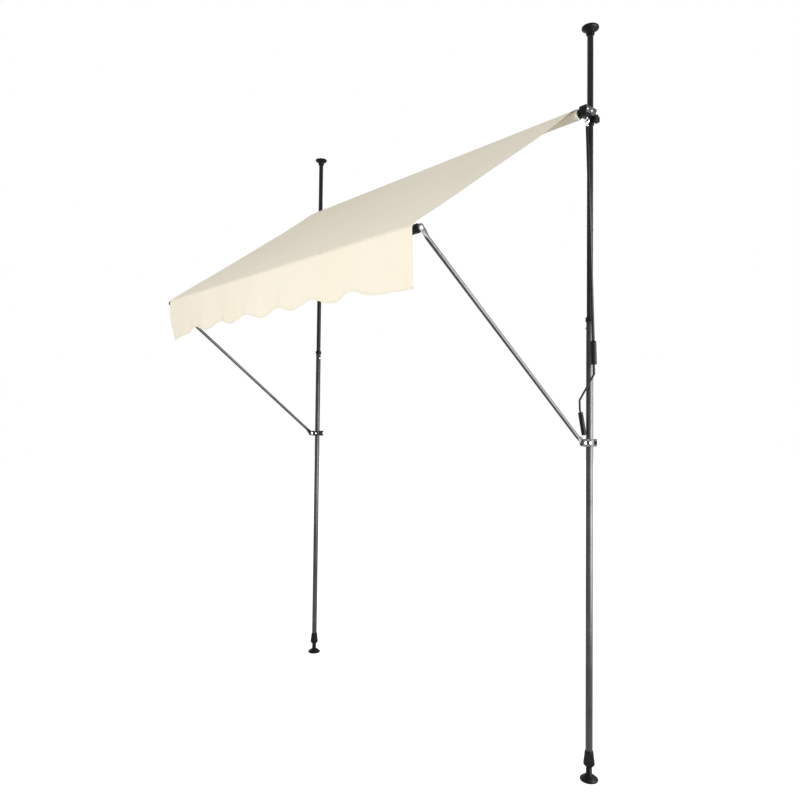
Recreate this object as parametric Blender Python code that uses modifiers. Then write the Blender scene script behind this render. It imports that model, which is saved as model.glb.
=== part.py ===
"""Clamp awning: two poles held between floor and ceiling, a cloth roller, two drop arms, a front bar and a crank.

Metres, +Z up. The origin is on the floor, midway between the poles. The cloth runs out towards -Y.
"""
import math

import bmesh
import bpy
from mathutils import Matrix, Vector

# Driving dimensions of the whole
ROOM_HEIGHT = 3.000
POLE_SPACING = 1.900
ROLLER_DROP = 0.366
ARM_PIVOT_HEIGHT = 1.317
ARM_LENGTH = 1.114
ARM_ANGLE = math.radians(37.50)
PIVOT_OFFSET = 0.045
CLOTH_INSET = 0.0245
GAP = 0.0003

# Poles
LOWER_TUBE_RADIUS = 0.0140
LOWER_TUBE_WALL = 0.0012
LOWER_TUBE_TOP = 1.812
UPPER_TUBE_RADIUS = 0.0122
UPPER_TUBE_WALL = 0.0014
UPPER_TUBE_INSERT = 0.220
HOLE_PLAY = 0.0006
HOLE_SIDES = 8
HOLE_PITCH = 0.079
TOP_HOLE_DEPTH = 0.110
COLLAR_RADIUS = 0.0170
COLLAR_SKIRT = 0.012
COLLAR_LIP = 0.006
LOCK_BOLT_DROP = 0.038
LOCK_BOLT_RADIUS = 0.0030
BOLT_HEAD_HEIGHT = 0.0030
BOLT_HEAD_RIM = 0.0008

# Feet and ceiling pads
FOOT_PAD_RADIUS = 0.035
PAD_EDGE = 0.006
PAD_CHAMFER = 0.001
FOOT_PAD_NECK_RADIUS = 0.0150
FOOT_PAD_HEIGHT = 0.022
FOOT_SOCKET_FLOOR = 0.010
SPINDLE_PLAY = 0.0005
SPINDLE_TOP = 0.200
NUT_BOTTOM = 0.054
NUT_HEIGHT = 0.058
NUT_SEAT = 0.032
NUT_TOP_RADIUS = 0.0163
NUT_BOTTOM_RADIUS = 0.0220
NUT_CHAMFER = 0.007
CEILING_PAD_RADIUS = 0.0345
CEILING_NECK_RADIUS = 0.0170
CEILING_PAD_HEIGHT = 0.018
CEILING_NECK_LENGTH = 0.013
CEILING_PAD_FLOOR = 0.012

# Arm clamps
CLAMP_SPLIT = 0.0016
ARM_CLAMP_DEPTH = 0.0180
ARM_CLAMP_BAR = 0.0100
ARM_CLAMP_REACH = 0.0310
ARM_CLAMP_REAR = 0.0375
ARM_CLAMP_HEIGHT = 0.030
ARM_CLAMP_BOLT_RADIUS = 0.0035
ARM_CLAMP_BOLT_FRONT_Y = 0.0240
ARM_CLAMP_BOLT_REAR_Y = 0.0300
BOSS_RADIUS = 0.0068
SADDLE_WALL = 0.0035
CLAMP_EDGE = 0.0020
EAR_RADIUS = 0.0130
EAR_THICKNESS = 0.0050

# Arms
ARM_RADIUS = 0.0076
EYE_RADIUS = 0.0125
EYE_THICKNESS = 0.0040
EYE_FLAT = 0.0150
EYE_TAPER = 0.0280
ARM_PIVOT_RADIUS = 0.0040

# Front bar
BAR_RADIUS = 0.0140
BAR_WALL = 0.0015
CAP_RADIUS = 0.0155
CAP_STEP_RADIUS = 0.0115
CAP_RIM = 0.0090
CAP_SPIGOT = 0.0220
BAR_END = 0.0225
BAR_PIN_RADIUS = 0.0040

# Roller
ROLLER_TUBE_RADIUS = 0.0190
ROLLER_TUBE_WALL = 0.0012
CLOTH_TURNS = 0.0020
CLOTH_THICKNESS = 0.0012
PLUG_RADIUS = 0.0175
PLUG_FLANGE = 0.0055
PLUG_SPIGOT = 0.0300
SHAFT_RADIUS = 0.0040

# Roller clamps
ROLLER_CLAMP_RISE = 0.0120
ROLLER_CLAMP_HEIGHT = 0.0360
ROLLER_CLAMP_DEPTH = 0.0170
ROLLER_CLAMP_REAR = 0.0225
ROLLER_BOLT_RADIUS = 0.0020
ROLLER_BOLT_FRONT_Y = 0.0152
ROLLER_BOLT_REAR_Y = 0.0170
EAR_PLATE = 0.0030
EAR_MARGIN = 0.0060
STOP_COLLAR_RADIUS = 0.0165
STOP_COLLAR_HEIGHT = 0.030
COLLAR_BOSS_RADIUS = 0.0080
COLLAR_BOSS_ROOT = 0.0040
KNOB_RADIUS = 0.0180
KNOB_THICKNESS = 0.0130
KNOB_LOBES = 6
KNOB_STANDOFF = 0.0225
KNOB_SCREW_RADIUS = 0.0030

# Winding gear
GEAR_CENTRES = 0.0180
WORM_RADIUS = 0.0057
WHEEL_WIDTH = 0.0100
GEAR_WALL = 0.0018
GEAR_PLAY = 0.0006
GEAR_CASE_HALF_WIDTH = 0.0137
GEAR_CASE_TOP = 0.0300
WHEEL_X = 0.0030
WORM_LENGTH = 0.0200
RING_RADIUS = 0.0080
RING_WIRE = 0.0026
RING_DROP = 0.0275
WORM_SHAFT_RADIUS = 0.0030

# Crank
CRANK_LEAN = math.radians(1.97)
HOOK_WIRE = 0.0025
HOOK_HALF_WIDTH = 0.0060
HOOK_LENGTH = 0.0150
CRANK_ROD_RADIUS = 0.0060
CRANK_TAIL_RADIUS = 0.0040
CRANK_TIP_CLEARANCE = 0.0150
UPPER_GRIP_LENGTH = 0.092
UPPER_GRIP_RADIUS = 0.0115
CRANK_TAIL_DROP = 0.040
CRANK_THROW = 0.070
CRANK_BEND_HEIGHT = 0.100
CRANK_HANDLE_DROP = 0.036
CRANK_BEND = 0.013
GRIP_LIP = 0.003
LOWER_GRIP_LENGTH = 0.092
LOWER_GRIP_RADIUS = 0.0100
LOWER_GRIP_LEAN = math.radians(9.0)

# Cloth
CANOPY_SAG = 0.006
CANOPY_COLUMNS = 20
CANOPY_ROWS = 8
VALANCE_DROP = 0.180
SCALLOP_PITCH = 0.2468
SCALLOP_LOWS = 3
SCALLOP_DEPTH = 0.025
VALANCE_WAVE = 0.0045
SCALLOP_STEPS = 5
SLEEVE_EASE = 0.0008
SLEEVE_WRAP = math.radians(270)
SLEEVE_ROWS = 10
HANG_ROWS = 3

ROUND_STEPS = 20
SMALL_STEPS = 10

# Places worked out from the sizes above
POLE_X = POLE_SPACING / 2
ROLLER_HEIGHT = ROOM_HEIGHT - ROLLER_DROP
PIVOT_Y = -PIVOT_OFFSET
BAR_Y = PIVOT_Y - ARM_LENGTH * math.cos(ARM_ANGLE)
BAR_Z = ARM_PIVOT_HEIGHT + ARM_LENGTH * math.sin(ARM_ANGLE)
LOWER_TUBE_BOTTOM = NUT_BOTTOM + NUT_SEAT + GAP
LOWER_TUBE_BORE = LOWER_TUBE_RADIUS - LOWER_TUBE_WALL
SPINDLE_RADIUS = LOWER_TUBE_BORE - SPINDLE_PLAY
LOCK_BOLT_Z = LOWER_TUBE_TOP - LOCK_BOLT_DROP
HOLE_RADIUS = LOCK_BOLT_RADIUS + HOLE_PLAY
UPPER_TUBE_TOP = ROOM_HEIGHT - CEILING_PAD_FLOOR - GAP
CLOTH_HALF_WIDTH = POLE_X - CLOTH_INSET
ROLL_RADIUS = ROLLER_TUBE_RADIUS + GAP + CLOTH_TURNS
SLEEVE_INNER = BAR_RADIUS + SLEEVE_EASE
SLEEVE_OUTER = SLEEVE_INNER + CLOTH_THICKNESS
WHEEL_RADIUS = GEAR_CENTRES - WORM_RADIUS - GAP
WORM_Y = PIVOT_Y + GEAR_CENTRES
GEAR_CLAMP_Z = ROLLER_HEIGHT + ROLLER_CLAMP_RISE
CLAMP_FRONT = WORM_Y + WORM_RADIUS + GEAR_PLAY + GEAR_WALL + GAP
RING_Z = ROLLER_HEIGHT - RING_DROP
HOOK_Z = RING_Z - RING_RADIUS + RING_WIRE + GAP + HOOK_WIRE
CRANK_TAIL_LENGTH = CRANK_TAIL_DROP + CRANK_BEND_HEIGHT + CRANK_HANDLE_DROP
LOWER_GRIP_DEPTH = CRANK_BEND + LOWER_GRIP_LENGTH
ARM_CLAMP_TOP = ARM_PIVOT_HEIGHT + ARM_CLAMP_HEIGHT / 2
CRANK_ROD_LENGTH = HOOK_Z - ARM_CLAMP_TOP - CRANK_TIP_CLEARANCE - LOWER_GRIP_DEPTH - CRANK_TAIL_LENGTH
STOP_COLLAR_DEPTH = ROLLER_CLAMP_HEIGHT / 2 + GAP + STOP_COLLAR_HEIGHT / 2
PLUG_OUTER_FACE = GEAR_CASE_HALF_WIDTH + GAP
ROLLER_END = PLUG_OUTER_FACE + PLUG_FLANGE + GAP
CAP_OUTER_FACE = EYE_THICKNESS / 2 + GAP
EAR_FRONT = PIVOT_Y - EAR_MARGIN

for leftover in list(bpy.data.objects):
    bpy.data.objects.remove(leftover, do_unlink=True)

awning = bpy.data.collections.new("clamp_awning")
cutters = bpy.data.collections.new("cutters")
bpy.context.scene.collection.children.link(awning)
bpy.context.scene.collection.children.link(cutters)


def finish(name, colour, metallic, roughness):
    """A plain Principled material."""
    material = bpy.data.materials.new(name)
    material.use_nodes = True
    shader = material.node_tree.nodes["Principled BSDF"]
    shader.inputs["Base Color"].default_value = (*colour, 1.0)
    shader.inputs["Metallic"].default_value = metallic
    shader.inputs["Roughness"].default_value = roughness
    return material


ANTHRACITE = finish("anthracite_powder_coat", (0.055, 0.052, 0.050), 0.3, 0.45)
SATIN_GREY = finish("satin_grey_tube", (0.33, 0.33, 0.32), 0.8, 0.38)
ZINC = finish("bright_zinc", (0.62, 0.62, 0.60), 1.0, 0.25)
CHROME = finish("chrome", (0.80, 0.80, 0.80), 1.0, 0.08)
BLACK_PLASTIC = finish("black_plastic", (0.018, 0.018, 0.018), 0.0, 0.35)
GEAR_METAL = finish("gear_metal", (0.45, 0.40, 0.30), 1.0, 0.35)
CREAM_CLOTH = finish("cream_cloth", (0.80, 0.76, 0.62), 0.0, 0.9)


def axis_empty(name, place):
    """An empty on a joint's axis; the pieces that move with the joint hang from it."""
    empty = bpy.data.objects.new(name, None)
    empty.location = place
    awning.objects.link(empty)
    return empty


def add(name, mesh, material, place=(0, 0, 0), turn=(0, 0, 0), pivot=None):
    """An object of the awning from a mesh, at a place in the world, hung from its pivot if it has one."""
    thing = bpy.data.objects.new(name, mesh)
    mesh.materials.append(material)
    for polygon in mesh.polygons:
        polygon.use_smooth = True
    mesh.set_sharp_from_angle(angle=math.radians(35))
    awning.objects.link(thing)
    thing.rotation_euler = turn
    thing.location = place
    if pivot is not None:
        thing.parent = pivot
        thing.location = Vector(place) - pivot.location
    return thing


def drum_mesh(radius, length, steps=ROUND_STEPS):
    """A solid round bar along Z, centred."""
    mesh = bpy.data.meshes.new("drum")
    shape = bmesh.new()
    bmesh.ops.create_cone(
        shape, cap_ends=True, segments=steps, radius1=radius, radius2=radius, depth=length
    )
    shape.to_mesh(mesh)
    shape.free()
    return mesh


def block_mesh(size):
    """A box, centred."""
    mesh = bpy.data.meshes.new("block")
    shape = bmesh.new()
    bmesh.ops.create_cube(shape, size=1.0, matrix=Matrix.Diagonal((*size, 1.0)))
    shape.to_mesh(mesh)
    shape.free()
    return mesh


def turned(
    name,
    profile,
    material,
    place=(0, 0, 0),
    turn=(0, 0, 0),
    pivot=None,
    closed=False,
    steps=ROUND_STEPS,
):
    """A turned piece: (radius, height) points down the outer side, swept round Z by a Screw modifier."""
    mesh = bpy.data.meshes.new(name)
    points = [(radius, 0.0, height) for radius, height in profile]
    edges = [(i, i + 1) for i in range(len(points) - 1)]
    if closed:
        edges.append((len(points) - 1, 0))
    mesh.from_pydata(points, edges, [])
    piece = add(name, mesh, material, place, turn, pivot)
    screw = piece.modifiers.new("turn", "SCREW")
    screw.steps = steps
    screw.render_steps = steps
    screw.use_merge_vertices = True
    screw.merge_threshold = 0.00001
    screw.use_smooth_shade = True
    return piece


def tube(
    name,
    outer,
    wall,
    bottom,
    top,
    material,
    place=(0, 0, 0),
    turn=(0, 0, 0),
    pivot=None,
    steps=ROUND_STEPS,
):
    """A round tube from bottom to top along its own Z."""
    inner = outer - wall
    profile = [(outer, top), (outer, bottom), (inner, bottom), (inner, top)]
    return turned(name, profile, material, place, turn, pivot, closed=True, steps=steps)


def cutter(name, mesh, place=(0, 0, 0), turn=(0, 0, 0)):
    """A shape that only cuts or joins; it is never part of the awning."""
    shape = bpy.data.objects.new(name, mesh)
    shape.location = place
    shape.rotation_euler = turn
    shape.hide_render = True
    shape.display_type = "WIRE"
    cutters.objects.link(shape)
    return shape


def boolean(piece, other, operation="DIFFERENCE"):
    """Cut or join one shape with another."""
    step = piece.modifiers.new(operation.lower(), "BOOLEAN")
    step.operation = operation
    step.solver = "EXACT"
    step.object = other
    return piece


ALONG_X = (0, math.pi / 2, 0)
ALONG_Y = (math.pi / 2, 0, 0)


def cross_hole(piece, name, radius, length, place, turn=ALONG_X, steps=SMALL_STEPS):
    """A round hole through a piece."""
    return boolean(piece, cutter(name, drum_mesh(radius, length, steps), place, turn))


def row_of_holes_mesh(radius, length, heights):
    """Cutters for a row of cross holes, one drum along X at each height."""
    mesh = bpy.data.meshes.new("hole_row")
    shape = bmesh.new()
    for height in heights:
        turn = Matrix.Rotation(math.pi / 2, 4, "Y")
        bmesh.ops.create_cone(
            shape,
            cap_ends=True,
            segments=HOLE_SIDES,
            radius1=radius,
            radius2=radius,
            depth=length,
            matrix=Matrix.Translation((0, 0, height)) @ turn,
        )
    shape.to_mesh(mesh)
    shape.free()
    return mesh


def bolt_profile(shank_radius, head_radius, length):
    """A domed bolt head above its shank; the seat of the head is at height 0 and the shank runs down."""
    dome = [
        (head_radius * math.sin(angle), BOLT_HEAD_RIM + (BOLT_HEAD_HEIGHT - BOLT_HEAD_RIM) * math.cos(angle))
        for angle in (0.0, math.radians(45), math.radians(90))
    ]
    return dome + [(head_radius, 0.0), (shank_radius, 0.0), (shank_radius, -length), (0.0, -length)]


def side_turn(side):
    """Turns a piece's own +Z to point away from the middle of the awning on this side."""
    return (0, side * math.pi / 2, 0)


def bolt(name, side, seat, place_y, place_z, shank_radius, length):
    """A bolt along X: its head sits on the face at this distance outside the pole's axis."""
    profile = bolt_profile(shank_radius, 1.9 * shank_radius, length)
    place = (side * (POLE_X + seat + GAP), place_y, place_z)
    return turned(name, profile, ZINC, place, side_turn(side), steps=SMALL_STEPS)


def make_pole(side, label):
    """Lower and upper tube, their collar and lock bolt, the ceiling pad and the foot of one side."""
    x = side * POLE_X
    lower = tube(
        f"{label}_lower_tube",
        LOWER_TUBE_RADIUS,
        LOWER_TUBE_WALL,
        LOWER_TUBE_BOTTOM,
        LOWER_TUBE_TOP,
        SATIN_GREY,
        (x, 0, 0),
    )
    through = 4 * LOWER_TUBE_RADIUS
    cross_hole(lower, f"{label}_lock_hole", HOLE_RADIUS, through, (x, 0, LOCK_BOLT_Z))

    upper_bottom = LOWER_TUBE_TOP - UPPER_TUBE_INSERT
    upper = tube(
        f"{label}_upper_tube",
        UPPER_TUBE_RADIUS,
        UPPER_TUBE_WALL,
        upper_bottom,
        UPPER_TUBE_TOP,
        ANTHRACITE,
        (x, 0, 0),
        steps=16,
    )
    hole_count = int((ROOM_HEIGHT - TOP_HOLE_DEPTH - LOCK_BOLT_Z) / HOLE_PITCH) + 1
    heights = [LOCK_BOLT_Z + i * HOLE_PITCH for i in range(hole_count)]
    holes = row_of_holes_mesh(HOLE_RADIUS, through, heights)
    boolean(upper, cutter(f"{label}_height_holes", holes, (x, 0, 0)))

    collar_top = LOWER_TUBE_TOP + COLLAR_LIP
    turned(
        f"{label}_guide_collar",
        [
            (COLLAR_RADIUS - PAD_CHAMFER, collar_top),
            (COLLAR_RADIUS, collar_top - PAD_CHAMFER),
            (COLLAR_RADIUS, LOWER_TUBE_TOP - COLLAR_SKIRT),
            (LOWER_TUBE_RADIUS + GAP, LOWER_TUBE_TOP - COLLAR_SKIRT),
            (LOWER_TUBE_RADIUS + GAP, LOWER_TUBE_TOP + GAP),
            (UPPER_TUBE_RADIUS + GAP, LOWER_TUBE_TOP + GAP),
            (UPPER_TUBE_RADIUS + GAP, collar_top),
        ],
        BLACK_PLASTIC,
        (x, 0, 0),
        closed=True,
    )

    nut_height = 2.0 * LOCK_BOLT_RADIUS
    seat = LOWER_TUBE_RADIUS
    bolt(
        f"{label}_lock_bolt",
        side,
        seat,
        0,
        LOCK_BOLT_Z,
        LOCK_BOLT_RADIUS,
        2 * seat + GAP + 0.8 * nut_height,
    )
    bore = LOCK_BOLT_RADIUS + GAP
    turned(
        f"{label}_lock_nut",
        [
            (0, nut_height + BOLT_HEAD_RIM),
            (1.4 * LOCK_BOLT_RADIUS, nut_height),
            (1.9 * LOCK_BOLT_RADIUS, 0.7 * nut_height),
            (1.9 * LOCK_BOLT_RADIUS, 0),
            (bore, 0),
            (bore, 0.8 * nut_height + GAP),
            (0, 0.8 * nut_height + GAP),
        ],
        ZINC,
        (side * (POLE_X - seat - GAP), 0, LOCK_BOLT_Z),
        side_turn(-side),
        steps=SMALL_STEPS,
    )

    pad_bottom = ROOM_HEIGHT - CEILING_PAD_HEIGHT
    neck_bottom = pad_bottom - CEILING_NECK_LENGTH
    socket = UPPER_TUBE_RADIUS + GAP
    turned(
        f"{label}_ceiling_pad",
        [
            (0, ROOM_HEIGHT),
            (CEILING_PAD_RADIUS - PAD_CHAMFER, ROOM_HEIGHT),
            (CEILING_PAD_RADIUS, ROOM_HEIGHT - PAD_CHAMFER),
            (CEILING_PAD_RADIUS, ROOM_HEIGHT - PAD_EDGE),
            (0.8 * CEILING_PAD_RADIUS, ROOM_HEIGHT - 0.55 * CEILING_PAD_HEIGHT),
            (CEILING_NECK_RADIUS + PAD_EDGE, ROOM_HEIGHT - 0.85 * CEILING_PAD_HEIGHT),
            (CEILING_NECK_RADIUS, pad_bottom),
            (CEILING_NECK_RADIUS, neck_bottom + PAD_CHAMFER),
            (CEILING_NECK_RADIUS - PAD_CHAMFER, neck_bottom),
            (socket, neck_bottom),
            (socket, ROOM_HEIGHT - CEILING_PAD_FLOOR),
            (0, ROOM_HEIGHT - CEILING_PAD_FLOOR),
        ],
        BLACK_PLASTIC,
        (x, 0, 0),
    )
    make_foot(side, label)


def make_foot(side, label):
    """The hand nut under the lower tube, its spindle and the floor pad of one side."""
    x = side * POLE_X
    nut_pivot = axis_empty(f"{label}_foot_nut_axis", (x, 0, NUT_BOTTOM))
    nut_top = NUT_BOTTOM + NUT_HEIGHT
    shelf = NUT_BOTTOM + NUT_SEAT
    turned(
        f"{label}_foot_nut",
        [
            (NUT_TOP_RADIUS, NUT_HEIGHT),
            (NUT_BOTTOM_RADIUS, 0.28 * NUT_HEIGHT),
            (NUT_BOTTOM_RADIUS, NUT_CHAMFER),
            (NUT_BOTTOM_RADIUS - NUT_CHAMFER, 0),
            (SPINDLE_RADIUS + GAP, 0),
            (SPINDLE_RADIUS + GAP, shelf - NUT_BOTTOM),
            (LOWER_TUBE_RADIUS + GAP, shelf - NUT_BOTTOM),
            (LOWER_TUBE_RADIUS + GAP, nut_top - NUT_BOTTOM),
        ],
        BLACK_PLASTIC,
        (x, 0, NUT_BOTTOM),
        pivot=nut_pivot,
        closed=True,
    )
    foot_pivot = axis_empty(f"{label}_foot_axis", (x, 0, 0))
    turned(
        f"{label}_foot_spindle",
        [
            (0, SPINDLE_TOP),
            (SPINDLE_RADIUS - PAD_CHAMFER, SPINDLE_TOP),
            (SPINDLE_RADIUS, SPINDLE_TOP - PAD_CHAMFER),
            (SPINDLE_RADIUS, FOOT_SOCKET_FLOOR + GAP),
            (0, FOOT_SOCKET_FLOOR + GAP),
        ],
        BLACK_PLASTIC,
        (x, 0, 0),
        pivot=foot_pivot,
    )
    turned(
        f"{label}_foot_pad",
        [
            (0, FOOT_SOCKET_FLOOR),
            (SPINDLE_RADIUS + GAP, FOOT_SOCKET_FLOOR),
            (SPINDLE_RADIUS + GAP, FOOT_PAD_HEIGHT),
            (FOOT_PAD_NECK_RADIUS, FOOT_PAD_HEIGHT),
            (FOOT_PAD_NECK_RADIUS + PAD_EDGE, 0.8 * FOOT_PAD_HEIGHT),
            (0.8 * FOOT_PAD_RADIUS, 0.5 * FOOT_PAD_HEIGHT),
            (FOOT_PAD_RADIUS, PAD_EDGE),
            (FOOT_PAD_RADIUS, PAD_CHAMFER),
            (FOOT_PAD_RADIUS - PAD_CHAMFER, 0),
            (0, 0),
        ],
        BLACK_PLASTIC,
        (x, 0, 0),
        pivot=foot_pivot,
    )


def clamp_block(name, side, half, depth, front, rear, height, centre_z, material):
    """One half of a split clamp: a block on one side of the pole. half is +1 outside the pole, -1 inside."""
    size = (depth - CLAMP_SPLIT / 2, rear - front, height)
    x = side * (POLE_X + half * (depth + CLAMP_SPLIT / 2) / 2)
    piece = add(name, block_mesh(size), material, (x, (front + rear) / 2, centre_z))
    bevel = piece.modifiers.new("cast_edges", "BEVEL")
    bevel.width = CLAMP_EDGE
    bevel.segments = 1
    bevel.limit_method = "ANGLE"
    return piece


def ear_outline(back):
    """Outline in Y and Z of a clamp's ear: straight from the block, round about the arm's pivot."""
    steps = 8
    arc = [math.pi / 2 + i * math.pi / steps for i in range(steps + 1)]
    front = [
        (PIVOT_Y + EAR_RADIUS * math.cos(angle), ARM_PIVOT_HEIGHT + EAR_RADIUS * math.sin(angle))
        for angle in arc
    ]
    return [(back, ARM_PIVOT_HEIGHT - EAR_RADIUS), (back, ARM_PIVOT_HEIGHT + EAR_RADIUS)] + front


def half_drum_mesh(radius, length, direction):
    """A solid round bar along Z, cut off flat at the clamp's split. direction is +1 or -1 along X."""
    mesh = drum_mesh(radius, length)
    for vertex in mesh.vertices:
        vertex.co.x = direction * max(direction * vertex.co.x, CLAMP_SPLIT)
    return mesh


def make_arm_clamp(side, label):
    """The two halves that clamp the lower tube and carry the arm between their ears, with their bolts."""
    x = side * POLE_X
    z = ARM_PIVOT_HEIGHT
    groove = LOWER_TUBE_RADIUS + GAP
    ear_inner = EYE_THICKNESS / 2 + GAP
    bolts = ((-ARM_CLAMP_BOLT_FRONT_Y, "front"), (ARM_CLAMP_BOLT_REAR_Y, "rear"))
    for half, which in ((1, "outer"), (-1, "inner")):
        name = f"{label}_arm_clamp_{which}"
        piece = clamp_block(
            name,
            side,
            half,
            ARM_CLAMP_BAR,
            -ARM_CLAMP_REACH,
            ARM_CLAMP_REAR,
            ARM_CLAMP_HEIGHT,
            z,
            SATIN_GREY if half > 0 else ANTHRACITE,
        )
        saddle = half_drum_mesh(groove + SADDLE_WALL, ARM_CLAMP_HEIGHT - CLAMP_EDGE, side * half)
        boolean(piece, cutter(f"{name}_saddle", saddle, (x, 0, z)), "UNION")
        boss_length = ARM_CLAMP_DEPTH - CLAMP_SPLIT
        boss_x = x + side * half * (ARM_CLAMP_DEPTH - boss_length / 2)
        for place_y, which_bolt in bolts:
            boss = drum_mesh(BOSS_RADIUS, boss_length)
            boolean(piece, cutter(f"{name}_{which_bolt}_boss", boss, (boss_x, place_y, z), ALONG_X), "UNION")
        ear_x = x + side * half * (ear_inner + EAR_THICKNESS / 2)
        ear = prism_mesh(ear_outline(-ARM_CLAMP_REACH + EAR_THICKNESS), EAR_THICKNESS)
        boolean(piece, cutter(f"{name}_ear", ear, (ear_x, 0, 0)), "UNION")
        bore = drum_mesh(groove, 2 * ARM_CLAMP_HEIGHT, ROUND_STEPS)
        boolean(piece, cutter(f"{name}_groove", bore, (x, 0, z)))
        through = 4 * ARM_CLAMP_DEPTH
        for place_y, which_bolt in bolts:
            hole = drum_mesh(ARM_CLAMP_BOLT_RADIUS + GAP, through, SMALL_STEPS)
            boolean(piece, cutter(f"{name}_{which_bolt}_hole", hole, (x, place_y, z), ALONG_X))
        pivot_hole = drum_mesh(ARM_PIVOT_RADIUS + GAP, through, SMALL_STEPS)
        boolean(piece, cutter(f"{name}_pivot_hole", pivot_hole, (x, PIVOT_Y, z), ALONG_X))
    length = 2 * ARM_CLAMP_DEPTH + BOLT_HEAD_HEIGHT
    for place_y, which in bolts:
        bolt(
            f"{label}_arm_clamp_bolt_{which}",
            side,
            ARM_CLAMP_DEPTH,
            place_y,
            z,
            ARM_CLAMP_BOLT_RADIUS,
            length,
        )
    ear_face = ear_inner + EAR_THICKNESS
    bolt(
        f"{label}_arm_pivot_bolt",
        side,
        ear_face,
        PIVOT_Y,
        z,
        ARM_PIVOT_RADIUS,
        2 * ear_face + BOLT_HEAD_HEIGHT,
    )


def arm_section(distance):
    """Half width, half thickness along X and inward shift of the arm, this far from the nearer eye's centre."""
    share = min(max((distance - EYE_FLAT) / EYE_TAPER, 0.0), 1.0)
    width = EYE_RADIUS * 0.94 + (ARM_RADIUS - EYE_RADIUS * 0.94) * share
    flat = EYE_THICKNESS / 2 * 0.90
    return width, flat + (ARM_RADIUS - flat) * share, (ARM_RADIUS - EYE_THICKNESS / 2) * share


def make_arm(side, label):
    """A drop arm: a tube with both ends pressed flat on its outer side into round eyes, along its own Z."""
    mesh = bpy.data.meshes.new("arm")
    shape = bmesh.new()
    bmesh.ops.create_cone(
        shape,
        cap_ends=True,
        segments=16,
        radius1=ARM_RADIUS,
        radius2=ARM_RADIUS,
        depth=ARM_LENGTH,
        matrix=Matrix.Translation((0, 0, ARM_LENGTH / 2)),
    )
    for station in (EYE_FLAT, EYE_FLAT + EYE_TAPER / 2, EYE_FLAT + EYE_TAPER):
        for height in (station, ARM_LENGTH - station):
            everything = shape.verts[:] + shape.edges[:] + shape.faces[:]
            bmesh.ops.bisect_plane(shape, geom=everything, plane_co=(0, 0, height), plane_no=(0, 0, 1))
    for vertex in shape.verts:
        end = min(vertex.co.z, ARM_LENGTH - vertex.co.z)
        width, thickness, shift = arm_section(end)
        vertex.co.x = vertex.co.x * thickness / ARM_RADIUS - side * shift
        vertex.co.y *= width / ARM_RADIUS
    shape.to_mesh(mesh)
    shape.free()
    pivot = axis_empty(f"{label}_arm_axis", (side * POLE_X, PIVOT_Y, ARM_PIVOT_HEIGHT))
    lean = (math.pi / 2 - ARM_ANGLE, 0, 0)
    piece = add(f"{label}_arm_tube", mesh, SATIN_GREY, pivot.location, lean, pivot)
    ends = (
        (side * POLE_X, PIVOT_Y, ARM_PIVOT_HEIGHT),
        (side * POLE_X, BAR_Y, BAR_Z),
    )
    for place in ends:
        eye = drum_mesh(EYE_RADIUS, EYE_THICKNESS, ROUND_STEPS)
        boolean(piece, cutter(f"{label}_arm_eye", eye, place, ALONG_X), "UNION")
    for place, radius in zip(ends, (ARM_PIVOT_RADIUS, BAR_PIN_RADIUS)):
        hole = drum_mesh(radius + GAP, 4 * ARM_RADIUS, SMALL_STEPS)
        boolean(piece, cutter(f"{label}_arm_hole", hole, place, ALONG_X))


def make_bar():
    """The front bar with its two stepped end caps, whose pins turn in the arms' upper eyes."""
    pivot = axis_empty("bar_axis", (0, BAR_Y, BAR_Z))
    half = POLE_X - BAR_END
    tube("front_bar", BAR_RADIUS, BAR_WALL, -half, half, ANTHRACITE, (0, BAR_Y, BAR_Z), ALONG_X, pivot)
    rim_inner = BAR_END - GAP
    rim_outer = rim_inner - CAP_RIM
    bore = BAR_RADIUS - BAR_WALL - GAP
    pin_end = EYE_THICKNESS / 2
    for side, label in ((1, "right"), (-1, "left")):
        turned(
            f"{label}_bar_cap",
            [
                (0, pin_end),
                (BAR_PIN_RADIUS, pin_end),
                (BAR_PIN_RADIUS, -CAP_OUTER_FACE),
                (CAP_STEP_RADIUS, -CAP_OUTER_FACE),
                (CAP_STEP_RADIUS, -rim_outer),
                (CAP_RADIUS - PAD_CHAMFER, -rim_outer),
                (CAP_RADIUS, -rim_outer - PAD_CHAMFER),
                (CAP_RADIUS, -rim_inner),
                (bore, -rim_inner),
                (bore, -rim_inner - CAP_SPIGOT),
                (0, -rim_inner - CAP_SPIGOT),
            ],
            BLACK_PLASTIC,
            (side * POLE_X, BAR_Y, BAR_Z),
            side_turn(side),
            pivot,
        )
    return pivot


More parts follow.
